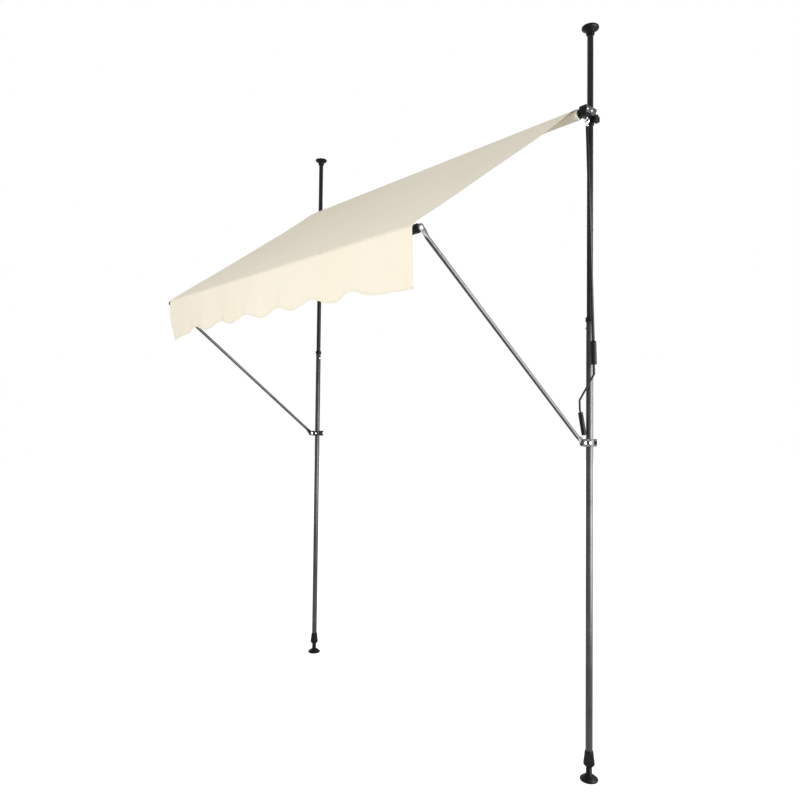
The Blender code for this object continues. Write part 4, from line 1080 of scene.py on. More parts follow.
@dataclass
class ArmClamps:
    """The split clamps on the lower tubes, whose ears hold the arms, with their bolts."""

    bench: Bench
    depth: float = 0.0180
    bar_depth: float = 0.0100
    split: float = 0.0008
    front_reach: float = 0.0310
    rear_reach: float = 0.0375
    height: float = 0.030
    front_bolt_y: float = -0.0240
    rear_bolt_y: float = 0.0300
    boss_radius: float = 0.0070
    groove: float = 0.0143
    saddle_wall: float = 0.0035
    ear_inner: float = 0.0023
    ear_thickness: float = 0.0050
    ear_radius: float = 0.0130

    def build(self) -> None:
        """Model the halves, the clamp bolts with their nuts, and the pivot bolt."""
        self.half(1, "outer", "saddle_grey")
        self.half(-1, "inner", "anthracite")
        self.bolts()

    def half(self, direction: int, which: str, finish: str) -> None:
        """One half: a bar across, a saddle over the tube, a boss at each bolt and a rounded ear.

        Args:
            direction: 1 outside the pole, -1 inside.
            which: The half's name.
            finish: Its finish.
        """
        bench = self.bench
        name = f"arm_clamp_{which}"
        z = ARM_PIVOT_Z
        low = (self.split, -self.front_reach, z - self.height / 2)
        high = (self.bar_depth, self.rear_reach, z + self.height / 2)
        body = bench.block(name, low, high, 0.0018, 3)
        half_height = self.height / 2 - 0.001
        radius = self.groove + self.saddle_wall
        saddle = bench.drum("saddle", radius, z - half_height, z + half_height, 64)
        bench.soften(saddle, 0.0012, 3)
        back = bench.block("back", (-0.04, -0.04, z - 0.03), (self.split, 0.04, z + 0.03))
        bench.join(body, bench.cut(saddle, back))
        for y in (self.front_bolt_y, self.rear_bolt_y):
            boss = bench.drum("boss", self.boss_radius, 0.003, self.depth, 40)
            bench.soften(boss, 0.0008, 3)
            bench.join(body, bench.lay(boss, (0.0, y, z)))
        ear = bench.block(
            "ear",
            (self.ear_inner, PIVOT_Y, z - self.ear_radius),
            (self.ear_inner + self.ear_thickness, -self.front_reach + 0.005, z + self.ear_radius),
        )
        disc = bench.drum("disc", self.ear_radius, 0.0, self.ear_thickness)
        bench.lay(disc, (self.ear_inner, PIVOT_Y, z))
        bench.join(ear, disc)
        bench.soften(ear, 0.0007)
        bench.join(body, ear)
        bench.cut(body, bench.drum("groove", self.groove, z - 0.05, z + 0.05))
        mirrored = bench.stamp(body, name, Matrix.Diagonal((direction, 1, 1, 1)))
        bpy.data.objects.remove(body, do_unlink=True)
        bench.put_on_poles(mirrored, name, finish, name)

    def bolts(self) -> None:
        """The two clamp bolts, their nuts, and the bolt that the arm turns on."""
        bench = self.bench
        for y, which in ((self.front_bolt_y, "front"), (self.rear_bolt_y, "rear")):
            bolt = Fastener(bench, 0.0035, 0.0360).model("bolt", (self.depth + GAP, y, ARM_PIVOT_Z))
            outline = rings((0.0052, 0.0184), (0.0056, 0.0188), (0.0056, 0.0208), (0.0050, 0.0213))
            nut = bench.lay(bench.loft("nut", outline, 6), (0.0, y, ARM_PIVOT_Z), Along.INWARD)
            bench.join(bolt, nut)
            name = f"arm_clamp_bolt_{which}"
            bench.put_on_poles(bolt, f"{name}_set", "zinc", name)
        seat = (self.ear_inner + self.ear_thickness + GAP, PIVOT_Y, ARM_PIVOT_Z)
        pivot = Fastener(bench, 0.0040, 0.0150, Head.HEX).model("pivot_bolt", seat)
        outline = rings((0.0068, 0.0076), (0.0072, 0.0080), (0.0072, 0.0098), (0.0066, 0.0104))
        nut = bench.lay(bench.loft("nut", outline, 6), (0.0, PIVOT_Y, ARM_PIVOT_Z), Along.INWARD)
        bench.join(pivot, nut)
        bench.put_on_poles(pivot, "arm_pivot_bolt_set", "zinc", "arm_pivot_bolt")


@dataclass
class Arms:
    """The two drop arms: tubes pressed flat into round eyes at both ends."""

    bench: Bench
    radius: float = 0.0076
    eye_radius: float = 0.0125
    eye_thickness: float = 0.0040
    flat: float = 0.0150
    taper: float = 0.0280

    def oval(self, distance: float) -> tuple[float, float, float]:
        """Half thickness along X, half width and inward shift this far from an eye's centre."""
        share = min(max((distance - self.flat) / self.taper, 0.0), 1.0)
        share = share * share * (3.0 - 2.0 * share)
        wide = 0.94 * self.eye_radius
        thin = 0.47 * self.eye_thickness
        shift = (self.radius - self.eye_thickness / 2) * share
        return thin + (self.radius - thin) * share, wide + (self.radius - wide) * share, shift

    def build(self) -> None:
        """Model one arm and place its two copies."""
        bench = self.bench
        near = [0.0, self.flat] + [self.flat + self.taper * i / 8 for i in range(1, 9)]
        heights = near + [ARM_LENGTH - height for height in reversed(near)]
        ovals = [self.oval(min(height, ARM_LENGTH - height)) for height in heights]
        stations = [Ring(thin, wide, height) for height, (thin, wide, _) in zip(heights, ovals)]
        arm = bench.loft("arm", stations, 40)
        for vertex in arm.data.vertices:
            vertex.co.x -= self.oval(min(vertex.co.z, ARM_LENGTH - vertex.co.z))[2]
        for height in (0.0, ARM_LENGTH):
            half = self.eye_thickness / 2
            coin = bench.drum("coin", self.eye_radius, -half, half)
            bench.soften(coin, 0.0008, 3)
            bench.join(arm, bench.lay(coin, (0.0, 0.0, height)))
            hole = bench.drum("hole", 0.0043, -0.01, 0.01, 28)
            bench.cut(arm, bench.lay(hole, (0.0, 0.0, height)))
        lean = Matrix.Rotation(math.pi / 2 - ARM_ANGLE, 4, "X")
        arm.data.transform(Matrix.Translation((0.0, PIVOT_Y, ARM_PIVOT_Z)) @ lean)
        bench.put_on_poles(arm, "drop_arm", "arm_grey", "arm_tube", body="{side}_arm", angle=30.0)


# ---- Front bar


@dataclass
class FrontBar:
    """The front bar in the cloth's sleeve, with its stepped end caps."""

    bench: Bench
    radius: float = 0.0140
    bore: float = 0.0125
    end: float = 0.0225

    def build(self) -> None:
        """Model the bar and both caps."""
        bench = self.bench
        half = POLE_X - self.end
        bar = bench.hollow_tube("front_bar_tube", self.radius, self.bore, -half, half)
        bench.lay(bar, (0.0, BAR_Y, BAR_Z))
        bench.hand_over(bar, "anthracite", "bar", "front_bar")
        outline = rings(
            (0.0036, 0.0020), (0.0040, 0.0016), (0.0040, -0.0023), (0.0105, -0.0023),
            (0.0115, -0.0033), (0.0115, -0.0120), (0.0122, -0.0130), (0.0145, -0.0132),
            (0.0155, -0.0142), (0.0155, -0.0190), (0.0151, -0.0194), (0.0151, -0.0200),
            (0.0155, -0.0204), (0.0155, -0.0222), (0.0122, -0.0222), (0.0122, -0.0442),
        )
        cap = bench.loft("bar_end_cap", outline, ROUND, rounding=0.0002)
        bench.lay(cap, (0.0, BAR_Y, BAR_Z))
        bench.put_on_poles(cap, "bar_end_cap", "black", "bar_cap", body="bar")
        outline = rings(
            (0.0036, 0.0021), (0.0058, 0.0023), (0.0056, 0.0030), (0.0040, 0.0036), (0.0015, 0.0038)
        )
        rivet = bench.lay(bench.loft("rivet", outline, 28), (0.0, BAR_Y, BAR_Z))
        bench.put_on_poles(rivet, "bar_pivot_rivet", "zinc", body="bar")


# ---- Roller, its clamps and the gear


@dataclass
class Roller:
    """The roller: its tube, the turns of cloth wound on it, and the flanged end plugs."""

    bench: Bench
    tube_radius: float = 0.0190
    tube_bore: float = 0.0178
    roll_radius: float = 0.0213
    cloth_half: float = 0.9255
    plug_face: float = 0.0140
    plug_flange: float = 0.0055

    def build(self) -> None:
        """Model the tube, the plugs and the wound cloth."""
        bench = self.bench
        half = POLE_X - self.plug_face - self.plug_flange - GAP
        tube = bench.hollow_tube("roller_core", self.tube_radius, self.tube_bore, -half, half)
        bench.lay(tube, (0.0, PIVOT_Y, ROLLER_Z))
        bench.hand_over(tube, "galvanised", "roller", "roller_tube")
        for side in Side:
            right = side is Side.RIGHT
            shaft_end = 0.0113 if right else -0.0016
            face = -self.plug_face
            flange = face - self.plug_flange
            outline = rings(
                (0.0036, shaft_end), (0.0040, shaft_end - 0.0004), (0.0040, face), (0.0165, face),
                (0.0175, face - 0.0010), (0.0175, flange), (0.0172, flange),
                (0.0172, flange - 0.030),
            )
            plug = bench.loft(f"{side.label}_roller_end", outline, ROUND, rounding=0.0003)
            place = (side.value * POLE_X, PIVOT_Y, ROLLER_Z)
            bench.lay(plug, place, Along.OUTWARD if right else Along.INWARD)
            bench.hand_over(plug, "black", "roller", f"{side.label}_roller_plug")
        self.wound_cloth()

    def wound_cloth(self) -> None:
        """The turns of cloth: one spiral that ends under the canopy, with bare edges."""
        turns = 2.75
        inner = self.tube_radius + 0.0004
        outer = self.roll_radius - 0.0003
        sheet = Sheet(self.bench, "cloth_turns", 60, 96)
        angle = math.pi / 2 - 2 * math.pi * turns * (1.0 - sheet.along)
        radius = inner + (outer - inner) * sheet.along
        x = (2.0 * sheet.across - 1.0) * self.cloth_half
        wobble = 0.0009 * np.sin(5.0 * angle + 0.6) * (sheet.along > 0.0)
        y, z = PIVOT_Y - radius * np.cos(angle), ROLLER_Z + radius * np.sin(angle)
        roll = sheet.finish((x + wobble, y, z), (x, angle * self.roll_radius), 0.0005)
        self.bench.hand_over(roll, "cream", "roller", "cloth_roll")


@dataclass
class RollerClamps:
    """The clamps on the upper tubes that carry the roller, with stop collars and star knobs."""

    bench: Bench
    outer_depth: float = 0.0170
    inner_depth: float = 0.0137
    split: float = 0.0008
    front: float = -0.0186
    rear: float = 0.0225
    height: float = 0.0360
    groove: float = 0.0125
    gear_rise: float = 0.0120
    ear_front: float = -0.0510
    ear_half_height: float = 0.0126
    collar_height: float = 0.0300

    def centre_z(self, side: Side) -> float:
        """Height of a side's clamp: above the roller's axis at the gear, else level with it."""
        return ROLLER_Z + (self.gear_rise if side is Side.RIGHT else 0.0)

    def build(self) -> None:
        """Model the halves, the bolts, the stop collars and the knobs."""
        for side in Side:
            self.halves(side)
            self.bolts(side)
            self.stop_collar(side)
            self.star_knob(side)

    def halves(self, side: Side) -> None:
        """Both halves of one clamp; the right outer half carries the plate over the gear cover."""
        bench = self.bench
        middle = self.centre_z(side)
        low_z, high_z = middle - self.height / 2, middle + self.height / 2
        low, high = (self.split, self.front, low_z), (self.outer_depth, self.rear, high_z)
        outer = bench.block("outer", low, high, 0.0022, 3)
        if side is Side.RIGHT:
            plate = bench.block(
                "plate",
                (self.outer_depth - 0.0030, self.ear_front, middle - self.ear_half_height),
                (self.outer_depth, self.front + 0.004, middle + self.ear_half_height),
                0.0010,
                2,
            )
            bench.join(outer, plate)
        bench.cut(outer, bench.drum("groove", self.groove, low_z - 0.01, high_z + 0.01))
        bench.put_on_poles(
            outer, "roller_clamp_front_half", "cast_grey", "roller_clamp_outer", sides=[side]
        )
        low, high = (-self.inner_depth, self.front, low_z), (-self.split, self.rear, high_z)
        inner = bench.block("inner", low, high, 0.0022, 3)
        if side is Side.LEFT:
            boss = bench.block(
                "boss",
                (-self.inner_depth, PIVOT_Y - 0.0155, ROLLER_Z - 0.0155),
                (-self.split, self.front + 0.004, high_z - 0.002),
                0.0030,
                3,
            )
            bench.join(inner, boss)
            bore = bench.drum("bore", 0.0043, -0.03, 0.03, 32)
            bench.cut(inner, bench.lay(bore, (0.0, PIVOT_Y, ROLLER_Z)))
        bench.cut(inner, bench.drum("groove", self.groove, low_z - 0.01, high_z + 0.01))
        bench.put_on_poles(
            inner, "roller_clamp_back_half", "anthracite", "roller_clamp_inner", sides=[side]
        )

    def bolts(self, side: Side) -> None:
        """The bolts of one side's clamp, and on the right the one that holds the gear cover."""
        bench = self.bench
        z = self.centre_z(side)
        for y, which in ((-0.0152, "front"), (0.0170, "rear")):
            bolt = Fastener(bench, 0.0020, 0.0300).model("bolt", (self.outer_depth + GAP, y, z))
            name = f"roller_clamp_bolt_{which}"
            bench.put_on_poles(bolt, f"{name}_set", "zinc", name, sides=[side])
        if side is Side.RIGHT:
            seat = (POLE_X + self.outer_depth + GAP, PIVOT_Y, z)
            cover = Fastener(bench, 0.0020, 0.0050).model("right_gear_cover_bolt", seat)
            bench.hand_over(cover, "zinc", "frame", "right_roller_clamp_bolt_ear")

    def collar_z(self, side: Side) -> float:
        """Height of a side's stop collar, which stands under the clamp."""
        return self.centre_z(side) - (self.height + self.collar_height) / 2 - GAP

    def stop_collar(self, side: Side) -> None:
        """The collar under one clamp, with the boss that takes the knob's screw."""
        bench = self.bench
        z = self.collar_z(side)
        outline = rings(
            (self.groove, z - 0.015), (0.0155, z - 0.015), (0.0165, z - 0.014), (0.0165, z + 0.014),
            (0.0155, z + 0.015), (self.groove, z + 0.015),
        )
        collar = bench.loft("stop_collar", outline, ROUND, True)
        boss = bench.drum("boss", 0.0080, 0.0135, 0.0222, 36)
        bench.soften(boss, 0.0005)
        bench.join(collar, bench.lay(boss, (0.0, 0.0, z)))
        hole = bench.drum("hole", 0.0033, 0.0100, 0.0300, 24)
        bench.cut(collar, bench.lay(hole, (0.0, 0.0, z)))
        bench.put_on_poles(collar, "tube_stop_collar", "black", "stop_collar", sides=[side])

    def star_knob(self, side: Side) -> None:
        """The six-lobed knob whose screw pins the collar to the tube."""
        bench = self.bench
        outline = rings(
            (0.0100, 0.0225), (0.0172, 0.0240), (0.0180, 0.0252), (0.0180, 0.0325),
            (0.0172, 0.0342), (0.0150, 0.0352), (0.0090, 0.0352), (0.0075, 0.0340),
            (0.0050, 0.0336),
        )
        knob = bench.loft("star", outline, 96)

        def lobed(radius: float, angle: float, _: float) -> float:
            """Six lobes round the rim."""
            return 0.80 + 0.20 * abs(math.cos(3 * angle)) ** 0.7 if radius > 0.012 else 1.0

        bench.carve(knob, lobed)
        bench.soften(knob, 0.0003, 1)
        bench.join(knob, bench.drum("screw", 0.0030, 0.0125, 0.0235, 24))
        bench.lay(knob, (0.0, 0.0, self.collar_z(side)))
        bench.put_on_poles(
            knob, "star_hand_knob", "black", "star_knob", body="{side}_knob", sides=[side]
        )


@dataclass
class WindingGear:
    """The winding gear at the right end: case, cover, and the eye that takes the crank's hook."""

    bench: Bench
    half: float = 0.0137
    top: float = 0.0300
    wall: float = 0.0018
    worm_x: float = 0.0030
    worm_y: float = -0.027
    ring_drop: float = 0.0275
    ring_radius: float = 0.0080
    ring_wire: float = 0.0026

    def build(self) -> None:
        """Model the case, the cover and the eye."""
        bench = self.bench
        x = POLE_X
        radius = 0.0120 + 0.0006 + self.wall
        front = PIVOT_Y - radius
        back = self.worm_y + 0.0057 + 0.0006 + self.wall
        low, high = ROLLER_Z - radius, ROLLER_Z + self.top
        cover_face = self.half - self.wall - GAP
        faces = ((x - self.half, x + cover_face), (x + cover_face + GAP, x + self.half))
        for name, (near, far), node in zip(
            ("gear_housing", "gear_housing_cover"), faces, ("gear_case", "gear_cover")
        ):
            piece = self.shell(name, (near, front, low), (far, back, high), radius)
            bench.hand_over(piece, "black", "frame", node)
        self.eye(x)

    def shell(self, name: str, low: Place, high: Place, radius: float) -> Piece:
        """A block with a large bevel on its two front edges along X, and all edges softened."""
        bench = self.bench
        piece = bench.block(name, low, high)
        bpy.ops.object.mode_set(mode="EDIT")
        bpy.ops.mesh.select_all(action="DESELECT")
        mesh = bmesh.from_edit_mesh(piece.data)
        for edge in mesh.edges:
            along_x = abs(edge.verts[0].co.x - edge.verts[1].co.x) > 0.0005
            at_front = max(abs(v.co.y - low[1]) for v in edge.verts) < 0.0001
            edge.select_set(along_x and at_front)
        bmesh.update_edit_mesh(piece.data)
        bpy.ops.mesh.bevel(offset=0.92 * radius, segments=14, affect="EDGES")
        bench.leave()
        return bench.soften(piece, min(0.0006, (high[0] - low[0]) / 4))

    def eye(self, x: float) -> None:
        """The worm's shaft with its collar and chrome ring, and the finish of the hidden wheel."""
        bench = self.bench
        ring_z = ROLLER_Z - self.ring_drop
        bench.clear()
        bpy.ops.mesh.primitive_torus_add(
            major_segments=48,
            minor_segments=20,
            major_radius=self.ring_radius,
            minor_radius=self.ring_wire,
            location=(0.0, 0.0, 0.0),
        )
        ring = bpy.context.active_object
        ring.name = "winding_eye"
        bench.lay(ring, (x + self.worm_x, self.worm_y, ring_z), Along.FORWARD)
        shank = bench.loft(
            "shank",
            rings(
                (0.0030, ring_z + self.ring_radius - 0.0006),
                (0.0042, ring_z + self.ring_radius + 0.0010),
                (0.0046, ring_z + self.ring_radius + 0.0022),
                (0.0046, ring_z + self.ring_radius + 0.0040),
                (0.0030, ring_z + self.ring_radius + 0.0042), (0.0030, ROLLER_Z - 0.0110),
                (0.0056, ROLLER_Z - 0.0100), (0.0056, ROLLER_Z + 0.0100),
                (0.0030, ROLLER_Z + 0.0110), (0.0030, ROLLER_Z + self.top - self.wall - GAP),
            ),
            32,
        )
        shank.location = (x + self.worm_x, self.worm_y, 0.0)
        bench.settle(shank)
        bench.join(ring, shank)
        bench.hand_over(ring, "chrome", "frame", "worm_shaft", angle=ROUND_CREASE)
        wheel = bpy.data.objects["worm_wheel"]
        for slot in wheel.material_slots:
            slot.material = bench.palette["brass"]


@dataclass
class Crank:
    """The crank that hangs in the eye: hook, rod, hand grip, cranked tail and its turning grip."""

    bench: Bench
    x: float = 0.9530
    y: float = -0.0270
    z: float = 2.6039
    lean: float = math.radians(1.97)
    hook_length: float = 0.0150
    hook_half: float = 0.0060
    hook_wire: float = 0.0025
    rod_radius: float = 0.0060
    rod_length: float = 0.9759
    tail_radius: float = 0.0040
    tail_drop: float = 0.040
    throw: float = 0.070
    bend_height: float = 0.100
    handle_drop: float = 0.036
    bend: float = 0.013
    grip_length: float = 0.092
    upper_radius: float = 0.0115
    lower_radius: float = 0.0100
    lower_lean: float = math.radians(9.0)

    @property
    def placing(self) -> Matrix:
        """From the crank's upright frame, whose origin is the hook's top, to its leaned place."""
        return Matrix.Translation((self.x, self.y, self.z)) @ Matrix.Rotation(-self.lean, 4, "Y")

    def build(self) -> None:
        """Model the rod with its hook and tail, and both grips."""
        self.rod()
        self.grips()

    def rod(self) -> None:
        """The rod, its chrome hook with a crimped ferrule, and the cranked tail."""
        bench = self.bench
        hook = self.hook()
        rod_top = -self.hook_length
        bottom = -self.rod_length
        ferrule = bench.loft(
            "ferrule",
            rings(
                (0.0034, rod_top + 0.0030), (0.0056, rod_top + 0.0018), (0.0064, rod_top + 0.0006),
                (0.0064, rod_top - 0.0040), (0.0061, rod_top - 0.0046), (0.0061, rod_top - 0.0060),
            ),
            36,
            rounding=0.0002,
        )
        bench.join(hook, ferrule)
        hook.data.transform(self.placing)
        bench.hand_over(hook, "chrome", "crank", angle=ROUND_CREASE)
        rod = bench.loft(
            "crank_bar",
            rings(
                (self.rod_radius, rod_top - 0.0055), (self.rod_radius, bottom + 0.0010),
                (0.0050, bottom),
            ),
            32,
        )
        run_top = math.hypot(self.throw, self.bend_height)
        slope = math.atan2(self.throw, self.bend_height)
        trim = self.bend * math.tan(slope / 2)
        lean_trim = self.bend * math.tan(self.lower_lean / 2)
        tail_end = self.bend + self.grip_length - 0.008
        moves = [
            ("run", self.tail_drop + 0.004 - trim, 0.0), ("bend", -slope, self.bend),
            ("run", run_top - 2 * trim, 0.0), ("bend", slope, self.bend),
            ("run", self.handle_drop - trim - lean_trim, 0.0), ("bend", self.lower_lean, self.bend),
            ("run", tail_end - lean_trim, 0.0),
        ]
        tail = bench.bent_rod("tail", self.tail_radius, (0.0, 0.0, bottom + 0.004), moves)
        bench.join(rod, tail)
        rod.data.transform(self.placing)
        bench.hand_over(rod, "anthracite", "crank", "crank_rod", angle=ROUND_CREASE)

    def hook(self) -> Piece:
        """The closed hook of bent wire, in the plane across the ring."""
        straight = self.hook_length - 2 * self.hook_half
        half_turn = ("bend", math.pi, self.hook_half)
        half_run = ("run", straight / 2, 0.0)
        moves = [half_run, half_turn, ("run", straight, 0.0), half_turn, half_run]
        start = (-self.hook_half, 0.0, -self.hook_half - straight / 2)
        hook = self.bench.bent_rod("crank_hook", self.hook_wire, start, moves, 18)
        hook.data.transform(Matrix.Rotation(math.pi / 2, 4, "Z"))
        return hook

    def grips(self) -> None:
        """The ribbed hand grip on the rod and the turning grip on the tail."""
        bench = self.bench
        centre = self.grip_length / 2 - self.rod_length - 0.0033
        half = self.grip_length / 2
        outline = [(0.0063, half), (0.0100, half), (0.0113, half - 0.0015)]
        outline += self.ribs(self.upper_radius, half - 0.006, -half + 0.006, 9)
        outline += [(0.0113, -half + 0.0015), (0.0100, -half), (0.0043, -half)]
        outline += [(0.0043, -half + 0.003), (0.0063, -half + 0.003)]
        upper = bench.loft("upper_hand_grip", rings(*outline), 40, True)
        upper.data.transform(self.placing @ Matrix.Translation((0.0, 0.0, centre)))
        bench.hand_over(upper, "grip", "crank_upper_grip", "upper_grip", angle=ROUND_CREASE)

        top = -self.bend
        bottom = top - self.grip_length
        outline = [(0.0043, top - 0.0840), (0.0043, top), (0.0080, top), (0.0096, top - 0.0012)]
        outline += [
            (0.0099, top - 0.0090), (0.0088, top - 0.0105), (0.0088, top - 0.0125),
            (0.0099, top - 0.0140),
        ]
        outline += self.ribs(self.lower_radius, top - 0.0200, bottom + 0.010, 7)
        outline += [(0.0097, bottom + 0.004), (0.0085, bottom + 0.001), (0.0060, bottom)]
        lower = bench.loft("lower_hand_grip", rings(*outline), 40)
        corner_z = -self.rod_length - self.tail_drop - self.bend_height - self.handle_drop
        placing = (
            self.placing
            @ Matrix.Translation((-self.throw, 0.0, corner_z))
            @ Matrix.Rotation(-self.lower_lean, 4, "Y")
        )
        lower.data.transform(placing)
        bench.hand_over(lower, "grip", "crank_lower_grip", "lower_grip", angle=ROUND_CREASE)

    @staticmethod
    def ribs(radius: float, high: float, low: float, count: int) -> list[tuple[float, float]]:
        """The outline of a run of shallow rounded ribs, top to bottom."""
        pitch = (high - low) / count
        outline = []
        for index in range(count):
            top = high - index * pitch
            outline += [
                (radius - 0.0006, top), (radius - 0.0001, top - 0.18 * pitch),
                (radius, top - 0.50 * pitch), (radius - 0.0001, top - 0.82 * pitch),
            ]
        outline.append((radius - 0.0006, low))
        return outline


# ---- Cloth


@dataclass
class ClothCut:
    """Sizes that the canopy and the valance share."""

    half_width: float = 0.9255
    thickness: float = 0.0006
    hem: float = 0.022
    roll_radius: float = 0.0213 + 0.0009
    sleeve_inner: float = 0.0148
    sleeve_outer: float = 0.0160

    def run(self) -> tuple[Vector, Vector, Vector]:
        """Start and end of the canopy's straight run in the middle plane, and its upward normal."""
        start_radius = self.roll_radius
        end_radius = self.sleeve_outer + 0.0009
        run_y = BAR_Y - PIVOT_Y
        run_z = BAR_Z - ROLLER_Z
        length = math.hypot(run_y, run_z)
        slope = math.atan2(-run_z, -run_y)
        tilt = slope + math.asin((start_radius - end_radius) / length)
        normal = Vector((0.0, -math.sin(tilt), math.cos(tilt)))
        start = Vector((0.0, PIVOT_Y, ROLLER_Z)) + normal * start_radius
        end = Vector((0.0, BAR_Y, BAR_Z)) + normal * end_radius
        return start, end, normal


def bump_at(values: np.ndarray, centre: float, width: float) -> np.ndarray:
    """A smooth ridge of height 1 and this half width at a centre."""
    return np.exp(-(((values - centre) / width) ** 2))


@dataclass
class Canopy:
    """The canopy: one sheet from the roll to the bar, with hems, tension folds and creases."""

    bench: Bench
    cut: ClothCut
    columns: int = 250
    rows: int = 150
    wrap: float = math.radians(100)
    sag: float = 0.0065
    edge_curl: float = 0.0030
    roll_folds: float = 0.0052
    bar_folds: float = 0.0030
    waves: float = 0.0018
    puckers: float = 0.0010
    crease_width: float = 0.0022

    def build(self) -> None:
        bench = self.bench
        sheet = Sheet(bench, "canopy_cloth", self.columns, self.rows)
        across, along = sheet.across, sheet.along
        x, y, z, length = self.points(across, along)
        piece = sheet.finish((x, y, z), (x, length), self.cut.thickness)
        bench.hand_over(piece, "cream", None, "canopy", angle=CLOTH_CREASE)
        start, end, _ = self.cut.run()
        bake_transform(piece)
        flat_length = float(length.max() - length.min())

    def points(
        self, across: np.ndarray, along: np.ndarray
    ) -> tuple[np.ndarray, np.ndarray, np.ndarray, np.ndarray]:
        """Places of the sheet's points, and their length along the cloth."""
        start, end, normal = self.cut.run()
        run = (end - start).length
        radius = self.cut.roll_radius
        arc = radius * self.wrap
        total = arc + run
        length = along * total - arc
        on_roll = length < 0.0
        share = np.clip(length / run, 0.0, 1.0)
        x = (2.0 * across - 1.0) * self.cut.half_width
        tilt = math.atan2(normal.z, -normal.y)
        angle = tilt - np.minimum(length, 0.0) / radius
        roll_y = PIVOT_Y - radius * np.cos(angle)
        roll_z = ROLLER_Z + radius * np.sin(angle)
        flat_y = start.y + (end.y - start.y) * share
        flat_z = start.z + (end.z - start.z) * share
        lift = self.lift(across, share)
        y = np.where(on_roll, roll_y, flat_y + normal.y * lift)
        z = np.where(on_roll, roll_z, flat_z + normal.z * lift)
        waist = np.sin(np.pi * share) ** 0.8
        x = x * (1.0 - 0.0065 * waist * np.abs(2.0 * across - 1.0) ** 3)
        return x, y, z, length

    def lift(self, across: np.ndarray, share: np.ndarray) -> np.ndarray:
        """Height of the cloth above its straight run: sag, folds, creases and the thicker hems."""
        edge = np.minimum(across, 1.0 - across) * 2.0 * self.cut.half_width
        middle = np.sin(np.pi * share) ** 2
        sag = -self.sag * middle * (0.35 + 0.65 * np.sin(np.pi * across))
        curl = -self.edge_curl * middle * np.exp(-edge / 0.05)
        folds = np.zeros_like(share)
        for side in (0.0, 1.0):
            away = np.abs(across - side) * 2.0 * self.cut.half_width
            fan = away - 0.10 * share
            reach = np.exp(-share / 0.42) * np.exp(-away / 0.16)
            folds += self.roll_folds * np.sin(2 * np.pi * fan / 0.070 + 1.3 * side) * reach
            front = np.exp(-(1.0 - share) / 0.30) * np.exp(-away / 0.22)
            fan = away + 0.12 * (1.0 - share)
            folds += self.bar_folds * np.sin(2 * np.pi * fan / 0.085 + 2.0 * side) * front
        long_waves = self.waves * np.sin(2 * np.pi * (across * 5.0 + 0.35 * share)) * middle
        pucker_wave = np.sin(2 * np.pi * across * 41.0 + 2.0 * np.sin(9.0 * across))
        puckers = self.puckers * pucker_wave * np.exp(-(1.0 - share) / 0.035)
        creases = np.zeros_like(share)
        for centre in (0.167, 0.333, 0.5, 0.667, 0.833):
            creases += 0.0009 * bump_at(across, centre, self.crease_width)
        for centre in (0.26, 0.52, 0.78):
            creases -= 0.0008 * bump_at(share, centre, 0.0045)
        fade = np.clip(share / 0.04, 0.0, 1.0) * np.clip((1.0 - share) / 0.02, 0.0, 1.0)
        hem = 0.0005 * (edge < self.cut.hem)
        puckers = puckers * np.clip((1.0 - share) / 0.006, 0.0, 1.0)
        hem = hem * np.clip(share / 0.01, 0.0, 1.0)
        return (sag + curl + folds + long_waves + creases) * fade + puckers + hem


